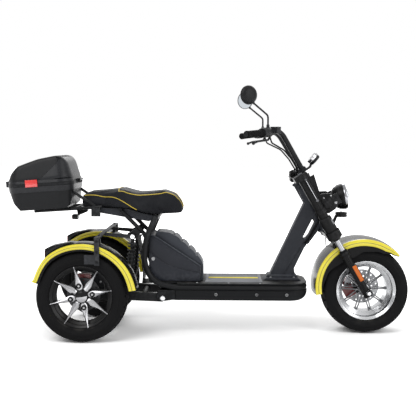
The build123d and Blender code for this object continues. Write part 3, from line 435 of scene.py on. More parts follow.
# The same shapes on the other side of the machine as well.
def mirrored(*shapes):
    shape = gather(*shapes)
    copy = shape.copy()
    copy.transform(Matrix.Scale(-1, 4, (0, 1, 0)))
    bmesh.ops.reverse_faces(copy, faces=copy.faces)
    return gather(shape, copy)


# A merged copy of a CAD node's mesh, with its flat faces whole again.
def nodeShape(node, flat=0.6):
    shape = bmesh.new()
    shape.from_mesh(cadNodes[node].data)
    bmesh.ops.remove_doubles(shape, verts=shape.verts, dist=1e-5)
    if flat:
        bmesh.ops.dissolve_limit(shape, angle_limit=radians(flat), verts=shape.verts, edges=shape.edges)
    return paint(shape, 0)


def addModifier(piece, name, kind, **settings):
    modifier = piece.modifiers.new(name, kind)
    for key, value in settings.items():
        setattr(modifier, key, value)
    return modifier


# Turns a bmesh into a piece that rides on a body. Under a CAD node's name it replaces that node.
def makePiece(name, shape, finishNames, body, edge=0.0, sharp=32.0, levels=0, wall=0.0):
    for face in shape.faces:
        face.smooth = True
    for side in shape.edges:
        side.smooth = len(side.link_faces) == 2 and side.calc_face_angle(0.0) < radians(sharp)
    title = name + "_dressed" if name in cadNodes else name
    mesh = bpy.data.meshes.new(title)
    shape.to_mesh(mesh)
    shape.free()
    for finish in finishNames:
        mesh.materials.append(finishes[finish])
    piece = bpy.data.objects.new(title, mesh)
    scene.collection.objects.link(piece)
    if wall:
        addModifier(piece, "wall", "SOLIDIFY", thickness=wall, offset=-1.0, use_even_offset=True,
            material_offset=len(finishNames) // 2)
    if edge:
        addModifier(piece, "edges", "BEVEL", width=edge, segments=2, limit_method="ANGLE",
            angle_limit=radians(sharp), use_clamp_overlap=False, harden_normals=True)
    if levels:
        addModifier(piece, "fine", "SUBSURF", levels=levels, render_levels=levels)
    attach(piece, body)
    if name in cadNodes:
        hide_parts(name)
    return piece


# A CAD node's own shape with softened edges and any extra shapes added.
def dress(node, finishNames, body, edge=0.0, sharp=32.0, extra=()):
    makePiece(node, gather(nodeShape(node), *extra), finishNames, body, edge, sharp)


# Wheels
tyreSpecs = {
    "front": {"radius": 0.239, "half": 0.103, "bead": 0.083, "steps": 112, "grooves": (0.019, 0.052)},
    "rear": {"radius": 0.24, "half": 0.061, "bead": 0.043, "steps": 104, "grooves": (0.014, 0.036)},
}
beadR = 0.152
lipR = 0.163


# Half section from the bead over the sidewall to the middle of the tread.
def tyreHalf(spec):
    radius, half, bead = spec["radius"], spec["half"], spec["bead"]
    shoulderR, shoulderH = radius - 0.013, half - 0.009
    wall = [(beadR + 0.001, bead - 0.006), (lipR - 0.001, bead - 0.001), (lipR + 0.003, bead +
        0.25 * (half - bead)), (lipR + 0.008, bead + 0.55 * (half - bead)), (lipR + 0.0095, bead +
        0.66 * (half - bead)), (lipR + 0.011, bead + 0.64 * (half - bead)), (lipR + 0.02, half - 0.003),
        (0.1905, half - 0.0006), (0.1985, half), (0.2, half - 0.0012), (0.2085, half - 0.0022),
        (shoulderR - 0.006, shoulderH + 0.0042), (shoulderR - 0.0008, shoulderH + 0.0012), (shoulderR +
        0.0006, shoulderH - 0.002)]
    fall = (radius - shoulderR) / shoulderH ** 2
    across = 0.5 * (spec["grooves"][1] + shoulderH)
    tread = [(radius - fall * across ** 2, across)]
    for groove in reversed(spec["grooves"]):
        for offset, depth in ((0.0026, 0.0), (0.0016, 0.0055), (-0.0016, 0.0055), (-0.0026, 0.0)):
            across = groove + offset
            tread.append((radius - fall * across ** 2 - depth, across))
    return wall + tread


# The lathed tyre with its tread cut into blocks.
def makeTyre(node, key, hub, tilt, body):
    spec = tyreSpecs[key]
    side = tyreHalf(spec)
    count = spec["steps"]
    shape = lathe(side + [(r, -h) for r, h in reversed(side)], Matrix(), count, closed=True, unit=1)
    blocks = []
    low, high = spec["grooves"]
    for face in shape.faces:
        centre = face.calc_center_median()
        around = int(round(atan2(centre.y, centre.x) / (2 * pi / count) - 0.5)) % count
        height = abs(centre.z)
        lateral = high + 0.004 < height < spec["half"] - 0.011 and around % 4 == 0
        inner = low + 0.004 < height < high - 0.004 and around % 4 == (1 if centre.z > 0 else 3)
        if hypot(centre.x, centre.y) > spec["radius"] - 0.02 and (lateral or inner):
            blocks.append(face)
    bmesh.ops.inset_individual(shape, faces=blocks, thickness=0.0012, depth=-0.0045, use_even_offset=True)
    placed(shape, Matrix.Translation(hub) @ turn(tilt, "X"))
    makePiece(node, shape, ["tyreRubber"], body, sharp=28)


makeTyre("front_tyre", "front", frontHub, 90, "front_wheel")
for side, sign in sides.items():
    makeTyre(f"rear_tyre_{side}", "rear", rearHub[side], -90 * sign, f"rear_wheel_{side}")

frontRim = {"half": 0.088, "wellR": 0.129, "pairs": 10, "lean": 15.0, "rimLean": 1.9, "reach": (0.03,
    0.126), "discY": -0.054, "discR": 0.096}


# Closed section of a rolled rim: lips, bead seats and well.
def rimSection(half, wellR, wall=0.005):
    bead = half - 0.005
    outer = [(lipR - 0.0015, half), (lipR, half - 0.0015), (lipR, bead + 0.001), (beadR + 0.003,
        bead - 0.002), (beadR, bead - 0.006), (beadR, 0.62 * bead), (wellR, 0.42 * bead)]
    inner = [(lipR - 0.0035, half), (lipR - 0.0048, half - 0.0012), (beadR - 0.001, bead - 0.001),
        (beadR - wall, bead - 0.004), (beadR - wall - 0.0005, 0.64 * bead), (wellR - wall, 0.43 * bead)]
    ring = outer + [(r, -h) for r, h in reversed(outer)]
    return ring + [(r, -h) for r, h in inner] + list(reversed(inner))


# Brake disc with two rows of drilled holes.
def holedDisc(radius, z, material):
    shape = bmesh.new()
    bore, split, thick, count = 0.046, 0.7 * radius, 0.004, 18
    for inner, outer, offset, hole in [(bore, split, 0.0, 0.0052), (split, radius, 10.0, 0.0044)]:
        mid = 0.5 * (inner + outer)
        cell = [(inner, a) for a in (-10, -5, 0, 5, 10)] + [(mid, 10)]
        cell += [(outer, a) for a in (10, 5, 0, -5, -10)] + [(mid, -10)]
        for k in range(count):
            centre = radians(20 * k + offset)
            rings = [[], []]
            for r, a in cell:
                spot = Vector((r * cos(radians(a)), r * sin(radians(a)), 0))
                drilled = Vector((mid, 0, 0)) + (spot - Vector((mid, 0, 0))).normalized() * hole
                for ring, at in zip(rings, (spot, drilled)):
                    ring.append(shape.verts.new(Matrix.Rotation(centre, 3, "Z") @ at))
            edges = [shape.edges.new((ring[i], ring[(i + 1) % 12])) for ring in rings for i in range(12)]
            bmesh.ops.bridge_loops(shape, edges=edges)
    bmesh.ops.remove_doubles(shape, verts=shape.verts, dist=1e-5)
    bmesh.ops.recalc_face_normals(shape, faces=shape.faces)
    bmesh.ops.solidify(shape, geom=shape.faces[:], thickness=thick)
    return placed(paint(shape, material), shift(0, 0, z))


def makeFrontRim():
    spec = frontRim
    parts = [lathe(rimSection(spec["half"], spec["wellR"]), Matrix(), 112, closed=True, unit=1)]
    parts.append(lathe([(0, 58), (20, 58), (22, 54), (30, 50), (34, 44), (26, 36), (24, 16), (32, 10), (32,
        -10), (24, -16), (26, -40), (34, -48), (34, -58), (0, -58)], Matrix(), 40, material=4))
    low, high = spec["reach"]
    for k in range(spec["pairs"]):
        for side in (-1, 1):
            inner = radians(36.0 * k + side * spec["lean"])
            outer = radians(36.0 * k + side * spec["rimLean"])
            start = Vector((low * cos(inner), low * sin(inner), 0.012 * side))
            end = Vector((high * cos(outer), high * sin(outer), 0.004 * side))
            run = 1000 * (end - start).length
            parts.append(lathe([(0, 0), (5.6, 0), (3.6, 14), (3.6, run - 16), (5.8, run), (0, run)],
                aimed(start, end), 12, material=4))
    parts.append(holedDisc(spec["discR"], spec["discY"], 1))
    parts.append(lathe([(30, -50), (50, -52), (52, -56), (30, -58)], Matrix(), 40, closed=True, material=2))
    for k in range(6):
        parts.append(bolt(around(0.042, 60 * k, -0.057) @ turn(180, "X"), 5, 5, 3))
    shape = placed(gather(*parts), Matrix.Translation(frontHub) @ turn(90, "X"))
    makePiece("front_rim", shape, ["polishedAlloy", "discSteel", "blackAlloyAndCapShade", "zincSteel", "spokeSteel"],
        "front_wheel", sharp=30)


rearRim = {"half": 0.048, "wellR": 0.14, "blades": 8, "lugs": 4, "lugR": 0.058, "first": 13.0,
           "thick": 0.012, "ridge": 0.0065,
           "dish": (0.021, 0.0455, 1.5),      # blade face by the hub, at the lip, and how late it rises
           "blade": [(0.034, 0.01), (0.044, 0.015), (0.056, 0.0172), (0.074, 0.0152), (0.094, 0.0112),
                     (0.118, 0.0074), (0.142, 0.005), (0.155, 0.0042), (0.159, 0.0056), (0.163, 0.0056)]}


# Height of a blade's face above the wheel's middle plane.
def dishAt(reach):
    low, high, power = rearRim["dish"]
    first, last = rearRim["blade"][0][0], rearRim["blade"][-1][0]
    share = min(1.0, max(0.0, (reach - first) / (last - first)))
    return low + (high - low) * share ** power


# One tapered spoke: black flanks and a machined face with a ridge down its middle.
def rearBlade(angle):
    spec = rearRim
    shape = bmesh.new()
    start, width = spec["blade"][0]
    row = [shape.verts.new((start, y, 0)) for y in (-width, 0, width)]
    edges = [shape.edges.new(pair) for pair in zip(row, row[1:])]
    for reach, half in spec["blade"][1:]:
        grown = bmesh.ops.extrude_edge_only(shape, edges=edges)["geom"]
        edges = [g for g in grown if isinstance(g, bmesh.types.BMEdge)]
        for vert in [g for g in grown if isinstance(g, bmesh.types.BMVert)]:
            vert.co = (reach, half * (vert.co.y > 1e-6) - half * (vert.co.y < -1e-6), 0)
    for vert in shape.verts:
        vert.co.z = dishAt(vert.co.x) + (spec["ridge"] if abs(vert.co.y) < 1e-6 else 0.0)
    softenEdges(thickened(shape, (0, 0, -spec["thick"])), 0.0011, 2, 40)
    for face in shape.faces:
        face.material_index = 1 if face.normal.z > 0.55 else 0
    return placed(shape, turn(angle, "Z"))


# Barrel, hub, blades, nuts in their rings, and a silver cap whose upper half is painted dark as shade.
def makeRearRim(side, sign):
    spec = rearRim
    parts = [lathe(rimSection(spec["half"], spec["wellR"], 0.004), Matrix(), 104, closed=True, unit=1)]
    parts.append(lathe([(0, 19), (40, 19), (44, 14), (44, -10), (36, -16), (36, -36), (44, -40), (30, -42),
        (0, -42)], Matrix(), 44))
    parts += [rearBlade(spec["first"] + 360.0 / spec["blades"] * k) for k in range(spec["blades"])]
    lugZ = dishAt(spec["lugR"]) + 0.7 * spec["ridge"]
    for k in range(spec["lugs"]):
        spot = around(spec["lugR"], spec["first"] + 360.0 / spec["lugs"] * k, lugZ)
        parts.append(lathe([(14.2, -4), (14.2, 6.2), (12.6, 7.4), (10.4, 3), (0, 3)], spot, 24))
        parts.append(lathe([(0, 3), (6.6, 3), (6.6, 8.8), (5.4, 10.2), (0, 10.2)], spot, 6, material=3))
    parts.append(lathe([(33, 12), (33, 28.5), (31.8, 31.2), (30, 30)], Matrix(), 40))
    dome = [(30, 28.5), (29, 31.5), (23, 34.8), (14, 37.4), (0, 38.8)]
    # The half-domes are turned so the black half is on top on both wheels: painted shade over the silver
    # cap.
    for start, material in ((8, 1), (188, 0)):
        start += 0 if sign > 0 else 180
        parts.append(lathe(dome, Matrix(), 20, span=180, start=start, material=material))
    parts.append(holedDisc(0.088, -0.04, 2))
    place = Matrix.Translation(rearHub[side]) @ turn(-90 * sign, "X")
    makePiece(f"rear_rim_{side}", placed(gather(*parts), place), ["blackAlloyAndCapShade", "machinedFace", "darkDisc",
        "zincSteel"], f"rear_wheel_{side}", sharp=30)


makeFrontRim()
for side, sign in sides.items():
    makeRearRim(side, sign)
print("wheels made")

# Mudguards: the band is the painted edge below the crown, the edge the end of the dark flank below it.
skirt = 0.033
guardSpecs = {
    "front": {"radius": 0.26, "half": 0.118, "crown": 0.008, "arc": (42.0, 190.0), "steps": 96,
              "flare": 0.0, "draw": 0.0, "flank": 0.088, "centre": (-0.019, 0.0, 0.024),
              "band": [(0.0, 0.008), (0.05, 0.02), (0.13, 0.031), (0.3, 0.033), (1.0, 0.031)],
              "edge": [(0.0, 0.012), (0.05, 0.026), (0.13, 0.0484), (0.3, 0.0651), (0.46, 0.088),
                       (0.6, 0.081), (0.82, 0.051), (1.0, skirt)]},
    "rear": {"radius": 0.279, "half": 0.073, "crown": 0.006, "arc": (9.0, 162.0), "steps": 88,
             "flare": 0.006, "draw": 0.015, "flank": 0.045, "centre": (0.008, 0.0, 0.0),
             "band": [(0.0, 0.033), (0.25, 0.03), (0.5, 0.025), (0.8, 0.022), (1.0, 0.021)],
             "edge": [(0.0, 0.0345), (1.0, 0.0345)]},
}


# Outer skin across the guard: flank, skirt, rolled shoulder and a low crown.
def guardSection(spec):
    radius, half, crown = spec["radius"], spec["half"], spec["crown"]
    low = radius - skirt
    drop = spec["flank"] - skirt
    side = [(low - 0.001 - drop * share, half - 0.0016) for share in (1.0, 0.97, 0.75, 0.5, 0.25, 0.0)]
    side += [(low + 0.0012, half), (low + 0.0145, half), (low + 0.0175, half), (radius - 0.0035, half),
        (radius - 0.0008, half - 0.0008), (radius + 0.0004, half - 0.003), (radius + 0.0012, half - 0.008)]
    side += [(radius + crown * (1 - share * share), share * half) for share in (0.8, 0.62, 0.42, 0.22, 0.0)]
    return side + [(r, -h) for r, h in reversed(side[:-1])]


def eased(share):
    share = min(1.0, max(0.0, share))
    return share * share * (3 - 2 * share)


# Value at a share of the arc on a line of points, smooth between them.
def along(line, share):
    for (s0, d0), (s1, d1) in zip(line, line[1:]):
        if share <= s1:
            return d0 + (d1 - d0) * eased((share - s0) / (s1 - s0))
    return line[-1][1]


def angleOf(vert):
    return degrees(atan2(vert.co.y, vert.co.x)) % 360


# Draws the flank's rows up to its lower edge, and the skirt up to its painted band.
def fitSides(shape, spec, low):
    radius, (start, end) = spec["radius"], spec["arc"]
    for vert in shape.verts:
        reach = hypot(vert.co.x, vert.co.y)
        if reach > radius - 0.0005 or abs(vert.co.z) < spec["half"] - 0.006:
            continue
        share = min(1.0, max(0.0, (angleOf(vert) - start) / (end - start)))
        band = along(spec["band"], share)
        below = low - reach
        want = radius - (radius - reach) * band / skirt
        if below > 0.0005:
            depth = max(0.0012, along(spec["edge"], share) - band)
            want = radius - band - 0.001 - (below - 0.001) * depth / (spec["flank"] - skirt)
        vert.co.xy *= want / reach


# Both ends lift a little off the wheel, and the rear tip is drawn in.
def makeGuard(name, key, hub, body):
    spec = guardSpecs[key]
    start, end = spec["arc"]
    shape = lathe(guardSection(spec), Matrix(), spec["steps"], span=end - start, start=start, unit=1)
    low = spec["radius"] - skirt
    for face in shape.faces:
        at = face.calc_center_median()
        reach = hypot(at.x, at.y)
        if abs(at.z) > spec["half"] - 0.006 and low - 0.0002 < reach < spec["radius"] + 0.001:
            face.material_index = 2 if low + 0.0145 < reach < low + 0.0175 else 1
        elif reach < low:
            face.material_index = 3
    if sum(f.normal.xy.dot(f.calc_center_median().xy) for f in shape.faces) < 0:
        bmesh.ops.reverse_faces(shape, faces=shape.faces)
    fitSides(shape, spec, low)
    for vert in shape.verts:
        angle = angleOf(vert)
        lift = max(0.0, (angle - (end - 4)) / 4, (start + 8 - angle) / 8 * 0.4)
        drawn = spec["draw"] * eased((angle - (end - 36)) / 36)
        vert.co.xy *= 1 + (spec["flare"] * lift * lift - drawn) / spec["radius"]
    shape.transform(Matrix.Translation(hub + Vector(spec["centre"])) @ turn(90, "X"))
    makePiece(name, shape, ["glossBlack", "glossYellow", "pinLine"] + ["flankBlack"] * 5, body,
        wall=0.003, sharp=40)


makeGuard("front_fender", "front", frontHub, "steering")
for side, sign in sides.items():
    makeGuard(f"rear_fender_{side}", "rear", rearHub[side], "frame")
stays = [block((0.052, 0.014, 0.024), forkPlace @ shift(-0.009, -0.124, 0.234), 0.003)]
stays += [bolt(forkPlace @ shift(x, -0.117, 0.234) @ turn(-90, "X"), 5, 4) for x in (-0.024, 0.006)]
makePiece("front_fender_stays", mirrored(*stays), ["satinBlackAndLidShade", "zincSteel"], "steering")


# Housing on the back of each guard with a red lens, the plate lamp, and the reflectors on the case.
def makeTailLamps():
    caseAbove = 0.72
    shape = nodeShape("rear_lamps")
    bmesh.ops.recalc_face_normals(shape, faces=shape.faces)
    for face in shape.faces:
        face.material_index = 1 if face.calc_center_median().z > caseAbove else 0
    for vert in [v for v in shape.verts if v.co.z > caseAbove]:      # over the shut line
        at = casePlace.inverted() @ vert.co
        vert.co = casePlace @ Vector((at.x + 0.025, at.y, 0.002 + 1.7 * (at.z + 0.012)))
    softenEdges(shape, 0.0012, 2, 30)
    lens = block((0.006, 0.078, 0.042), shift(rearX - 0.1845, -0.3, 0.4655), 0.0022, 3, 1)
    rim = lathe([(16.5, 0), (16.5, 2), (14.5, 2.6), (14, 0.8), (0, 0.8)], shift(rearX - 0.1873, -0.3,
        0.4655) @ turn(-90, "Y"), 24, material=1)
    glow = block((0.012, 0.05, 0.018), shift(rearX - 0.0985, 0, 0.627), 0.003, 3, 1)
    makePiece("rear_lamps", gather(shape, mirrored(lens, rim), glow), ["glossBlack", "redLens"], "frame",
        sharp=30)


makeTailLamps()

# Frame, swingarm and axle
hoopBolts = mirrored(*[bolt(rightSide(rearX + 0.088, 0.3845, z), 5, 4) for z in (0.43, 0.482, 0.536)],
    bolt(shift(rearX + 0.088, -0.3, 0.556), 5.5, 5))
dress("fender_hoop", ["satinGrey", "satinBlackAndLidShade"], "frame", 0.0012, extra=[hoopBolts])
dress("frame_tubes", ["satinBlackAndLidShade"], "frame", sharp=40)


# A bright round cap on both sides, out from Y in to Y out.
def sideCaps(x, z, inner, outer):
    return [mirrored(rod((rearX + x, -inner, z), (rearX + x, -outer, z), 0.0125, 0.0015))]


dress("seat_stays", ["satinBlackAndLidShade", "brightChrome"], "frame", 0.001, extra=sideCaps(0.246,
    0.534, 0.15, 0.156))
dress("swingarm", ["satinBlackAndLidShade", "brightChrome"], "frame", 0.003, extra=sideCaps(0.409,
    0.201, 0.155, 0.1625))
axleSpots = [around(0.074, 60 * k + 30, 0).translation for k in range(6)]
axleBolts = mirrored(*[bolt(rightSide(rearX + at.x, 0.0953, 0.24 + at.y), 5, 5) for at in axleSpots])
dress("drive_axle", ["satinGrey", "zincSteel"], "frame", 0.0012, extra=[axleBolts])
dress("splash_guard", ["deckPlastic"], "frame", 0.001)
dress("rack", ["satinBlackAndLidShade"], "frame", 0.0015)
dress("seat_tray", ["coverPlastic"], "frame", 0.003)
dress("battery", ["batteryShell"], "frame", 0.004)
print("mudguards and frame made")

shockSpec = {"top": (0.246, 0.534), "foot": (0.222, 0.262), "y": 0.128, "coilR": 0.0215, "wireR": 0.0036,
    "turns": 9, "steps": 14, "coil": (0.17, 0.85)}


# Damper, rod, spring seats, coil, eyes with their pins, and the lug at the foot.
def shockParts(y):
    spec = shockSpec
    top, foot = [Vector((rearX + x, y, z)) for x, z in (spec["top"], spec["foot"])]
    length = (top - foot).length
    run = 1000 * length
    place = aimed(foot, top)
    parts = [lathe([(0, 12), (10, 12), (15, 18), (16.5, 26), (16.5, 0.3 * run), (16.5, 0.66 * run), (15,
        0.67 * run), (0, 0.67 * run)], place, 32)]
    parts.append(lathe([(0, 0.66 * run), (12.2, 0.66 * run), (12.2, 0.7 * run), (9, 0.71 * run), (9,
        run - 12), (0, run - 12)], place, 24))
    for z, flip in ((0.155 * run, 1), (0.865 * run, -1)):
        parts.append(lathe([(7.5, z), (25.5, z), (26.2, z + 1.2), (26.2, z + 4 * flip), (23.5, z +
            5.2 * flip), (7.5, z + 5.2 * flip)], place, 36, closed=True, material=2))
    low, high = [share * length for share in spec["coil"]]
    count = spec["turns"] * spec["steps"]
    coil = [place @ around(spec["coilR"], 360 * spec["turns"] * k / count, low + (high - low) * k / count)
        for k in range(count + 1)]
    parts.append(tubeAlong([spot.translation for spot in coil], spec["wireR"], 4, 2, 3))
    for end in (top, foot):
        eye = Matrix.Translation(end) @ turn(90, "X")
        parts.append(lathe([(8.5, -13), (12.5, -13), (14, -11.5), (14, 11.5), (12.5, 13), (8.5, 13)], eye,
            28, closed=True))
        parts.append(lathe([(0, -13.5), (8.6, -13.5), (8.6, 13.5), (0, 13.5)], eye, 24, material=2))
    return parts + [block((0.024, 0.026, 0.03), shift(foot.x, foot.y, 0.247), 0.002)]


shocks = gather(*shockParts(-shockSpec["y"]), *shockParts(shockSpec["y"]))
makePiece("shocks", shocks, ["satinBlackAndLidShade", "darkSteel", "satinGrey", "satinBlackAndLidShade"], "frame",
    sharp=35)

# Deck
deckTop = 0.286
sideBolts = [lathe([(0, 0), (8.5, 0), (8.5, 1.5), (6, 3.5), (2.6, 4), (2, 2.5), (0, 2.5)],
    rightSide(frontHub.x + x, 0.1502, 0.223), 20, material=1) for x in (-0.821, -0.601, -0.439)]
dress("deck_tray", ["deckPlastic", "zincSteel"], "frame", 0.004,
    extra=[mirrored(*sideBolts)])
plateScrews = [lathe([(0, 0), (6, 0), (5.2, 1.6), (2.2, 1.8), (1.8, 0.6), (0, 0.6)], shift(x, -0.148,
    deckTop), 16, material=1) for x in (-0.05, 0.12, 0.29)]
dress("deck_plate", ["deckPlastic", "zincSteel"], "frame", 0.0022,
    extra=[mirrored(*plateScrews)])

matSpec = {"ribs": 22, "rib": (0.0055, 0.0026), "strip": 0.014, "border": 0.018}


# Rubber mat: ribs along the deck, a yellow strip down the middle and a plain border.
def makeMat():
    low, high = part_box("deck_mat")
    spec = matSpec
    length, width = high.x - low.x, high.y - low.y
    middleX = (low.x + high.x) / 2

    def slab(x, y, lift, size, edge, segments=2, material=0):
        return block(size, shift(middleX + x, y, deckTop + lift), edge, segments, material)

    parts = [slab(0, 0, 0.0015, (length, width, 0.003), 0.001)]
    for s in (-1, 1):
        parts.append(slab(0, s * (width / 2 - 0.007), 0.004, (length - 0.004, 0.01, 0.0022), 0.0007))
        parts.append(slab(s * (length / 2 - 0.01), 0, 0.004, (0.012, width - 0.024, 0.0022), 0.0007))
    inner = width / 2 - spec["border"]
    for k in range(spec["ribs"]):
        y = -inner + 2 * inner * (k + 0.5) / spec["ribs"]
        if abs(y) > spec["strip"] + 0.004:
            parts.append(slab(0, y, 0.0037, (length - 0.04, *spec["rib"]), 0.0006, 1))
    parts.append(slab(0, 0, 0.0042, (length - 0.036, 2 * spec["strip"], 0.0026), 0.0009, material=1))
    makePiece("deck_mat", gather(*parts), ["matRubber", "matYellow"], "frame", sharp=30)


makeMat()

# Cover and hump
coverOutline = [(331, 286), (613, 286), (613, 371), (366, 532), (331, 543)]
coverRidge = [(345, 539.5), (368, 532.5), (440, 485.5), (520, 433.5), (600, 381.5), (611, 372.5)]
swoosh = [(333, 449), (360, 430), (393, 406), (420, 388), (447, 375), (490, 360), (545, 348), (604, 337)]


# Body with a panel above and one below the swoosh on each side, a ridge in the lighter hump plastic as a
# painted highlight, and a keyhole on the right.
def makeCover():
    upper = prism(fromRear(swoosh + [(608, 364), (366, 522), (336, 530)]), -0.1205, -0.116, edge=0.0022,
        segments=3)
    drop = [(x, z - 3.5) for x, z in reversed(swoosh)]
    lower = prism(fromRear([(334, 290), (608, 290)] + drop), -0.1188, -0.116, edge=0.0015)
    # The ridge along the top edge is painted in the lighter hump plastic as a highlight.
    ridge = tubeAlong([(x, -0.116, z) for x, z in fromRear(coverRidge)], 0.0042, material=1)
    lock = rightSide(rearX + 0.355, 0.1195, 0.411)
    barrel = lathe([(0, 0), (10.5, 0), (10.5, 2.8), (8.8, 5), (6, 5), (5.8, 3), (0, 3)], lock, 28,
        material=2)
    slot = block((0.0014, 0.006, 0.0016), lock @ shift(0, 0, 0.0035), material=3)
    body = prism(fromRear(coverOutline), -0.1175, 0.1175, edge=0.006, segments=4)
    makePiece("battery_cover", gather(body, mirrored(upper, lower, ridge), barrel, slot), ["coverPlastic",
        "humpPlasticAndRidgeHighlight", "zincSteel", "glossBlack"], "frame", sharp=34)


humpOutline = [(366, 536), (366, 549), (374, 555), (402, 554), (440, 549), (460, 541), (465, 529), (472,
    535), (488, 525), (502, 508), (505, 495), (513, 500), (530, 489), (543, 472), (546, 459), (554, 464),
    (570, 452), (583, 434), (587, 421), (595, 425), (609, 408), (620, 389), (627, 370), (627, 287), (614,
    287), (614, 374), (606, 379)]


def makeHump():
    shape = prism(fromRear(humpOutline), -0.079, 0.079)
    rim = [e for e in shape.edges if abs(e.verts[0].co.y - e.verts[1].co.y) < 1e-6 and (e.verts[0].co.z +
        e.verts[1].co.z) / 2 > 0.38]
    makePiece("cover_hump", bevelled(shape, rim, 0.0075, 4), ["humpPlasticAndRidgeHighlight"], "frame",
        edge=0.0012, sharp=28)


makeCover()
makeHump()

# Front post
postWeb = [(-530, 302), (-339, 710), (-374, 788), (-350, 800), (-250, 590), (-264, 556), (-316, 484), (-338,
    500), (-456, 302)]
postSlot = [(-293, 628), (-284, 624), (-276, 606), (-310, 536), (-326, 518), (-340, 514), (-344, 524)]
postFlank = [(-460, 302), (-342, 500), (-318, 487), (-335, 463), (-369, 392), (-389, 350), (-383, 302)]
postFoot = [(-566, 286), (-541, 302), (-372, 302), (-352, 286)]
postCollar = [(-546, 300), (-536, 318), (-380, 318), (-366, 300)]


# The web with its slot right through.
def slottedWeb(half):
    shape = bmesh.new()
    edges = []
    for ring in (fromFront(postWeb), fromFront(postSlot)):
        verts = [shape.verts.new((x, -half, z)) for x, z in ring]
        edges += [shape.edges.new(pair) for pair in zip(verts, verts[1:] + verts[:1])]
    bmesh.ops.triangle_fill(shape, use_beauty=True, edges=edges)
    grown = bmesh.ops.extrude_face_region(shape, geom=shape.faces[:])["geom"]
    moved = [part for part in grown if isinstance(part, bmesh.types.BMVert)]
    bmesh.ops.translate(shape, vec=(0, 2 * half, 0), verts=moved)
    bmesh.ops.dissolve_limit(shape, angle_limit=radians(1), verts=shape.verts, edges=shape.edges)
    bmesh.ops.recalc_face_normals(shape, faces=shape.faces)
    return softenEdges(shape, 0.0045, 3)


def makePost():
    parts = [slottedWeb(0.039)]
    layers = [(postFlank, 0.031, 0.004), (postFoot, 0.061, 0.004), (postCollar, 0.046, 0.006)]
    for outline, half, edge in layers:
        parts.append(prism(fromFront(outline), -half, half, edge=edge, segments=3))
    parts.append(lathe([(22.5, 394), (31, 394), (33, 396), (33, 404), (31, 406), (28, 408), (28, 684), (31,
        686), (33, 688), (33, 696), (31, 698), (22.5, 698)], forkPlace @ shift(-0.032, 0, 0), 40,
        closed=True))
    parts.append(mirrored(*[bolt(shift(frontHub.x + x, -0.053, 0.302), 5.5, 5) for x in (-0.52, -0.392)]))
    makePiece("front_post", gather(*parts), ["castGrey", "zincSteel"], "frame", sharp=30)


makePost()
print("deck, cover and post made")

# Top case
caseSpec = {"length": 0.379, "voxel": 0.004, "round": 30, "wall": 0.003, "rearBow": 0.026, "frontBow": 0.001,
            "flat": 0.045, "full": 0.075, "crown": 0.94, "lip": 0.006, "rimTop": 0.017, "lift": 0.0022,
            "band": (-0.045, -0.015), "bandLift": 0.0032, "seam": 0.014,
            "crease": ((-0.196, 0, 0), (-0.06, 0, 0.118))}
caseBack = casePlace.inverted()


# Only the faces that look out, away from the hollow.
def outerSkin(shape):
    tree = BVHTree.FromBMesh(shape)
    inner = [f for f in shape.faces if tree.ray_cast(f.calc_center_median() + 2e-4 * f.normal, f.normal,
        0.5)[0]]
    bmesh.ops.delete(shape, geom=inner, context="FACES")
    return shape


# The holder's mesh with its modifiers run, as a bmesh, with the holder dropped.
def applied(holder):
    graph = bpy.context.evaluated_depsgraph_get()
    made, base = bpy.data.meshes.new_from_object(holder.evaluated_get(graph)), holder.data
    shape = bmesh.new()
    shape.from_mesh(made)
    bpy.data.objects.remove(holder)
    for mesh in (made, base):
        bpy.data.meshes.remove(mesh)
    return shape


def smoothed(shape, rounds):
    for again in range(rounds):
        bmesh.ops.smooth_vert(shape, verts=shape.verts, factor=0.5, use_axis_x=True, use_axis_y=True,
            use_axis_z=True)
    shape.normal_update()
    return shape


# A passing object that holds the shape while a modifier runs on it.
def holderOf(shape):
    mesh = bpy.data.meshes.new("passing")
    shape.to_mesh(mesh)
    shape.free()
    holder = bpy.data.objects.new("passing", mesh)
    scene.collection.objects.link(holder)
    return holder


# A closed shape with even faces and its corners rounded.
def evened(shape, voxel, rounds):
    holder = holderOf(shape)
    addModifier(holder, "even", "REMESH", mode="VOXEL", voxel_size=voxel)
    return smoothed(applied(holder), rounds)


# Cuts off what lies behind each plane, given in the case's frame.
def cutAway(shape, *cuts):
    for point, normal in cuts:
        geom = shape.verts[:] + shape.edges[:] + shape.faces[:]
        bmesh.ops.bisect_plane(shape, geom=geom, plane_co=casePlace @ Vector(point),
            plane_no=casePlace.to_3x3() @ Vector(normal), clear_inner=True)
    return shape


# A thin slab that stands a little proud of an open skin.
def raised(skin, lift, under=0.0006):
    base = skin.verts[:]
    grown = bmesh.ops.extrude_face_region(skin, geom=skin.faces[:])
    for vert in [g for g in grown["geom"] if isinstance(g, bmesh.types.BMVert)]:
        vert.co += lift * vert.normal
    for vert in base:
        vert.co -= under * vert.normal
    bmesh.ops.recalc_face_normals(skin, faces=skin.faces)
    return skin


# In plan both ends are bowed: the corners stand back from the middle of the end.
def bowEnds(shape, crown=1.0):
    spec = caseSpec
    for vert in shape.verts:
        at = caseBack @ vert.co
        reach = (at.x + spec["length"] / 2) / (spec["length"] / 2)
        bow = spec["rearBow"] if reach < 0 else -spec["frontBow"]
        at.x += bow * min(1.0, reach * reach) * eased((abs(at.y) - spec["flat"]) / spec["full"])
        at.z *= crown if at.z > 0 else 1.0
        vert.co = casePlace @ at
    return shape


def makeTub():
    low, high = caseSpec["band"]
    tub = bowEnds(nodeShape("case_tub"))
    band = cutAway(bowEnds(outerSkin(nodeShape("case_tub", 0.0))), ((0, 0, low), (0, 0, 1)), ((0, 0, high),
        (0, 0, -1)), ((0.002, 0, 0), (-1, 0, 0)))
    bmesh.ops.dissolve_limit(band, angle_limit=radians(0.6), verts=band.verts, edges=band.edges)
    band = paint(raised(band, caseSpec["bandLift"]), 1)
    makePiece("case_tub", gather(tub, band), ["satinBlackAndLidShade", "casePlastic"], "frame",
        edge=0.0008, sharp=24)


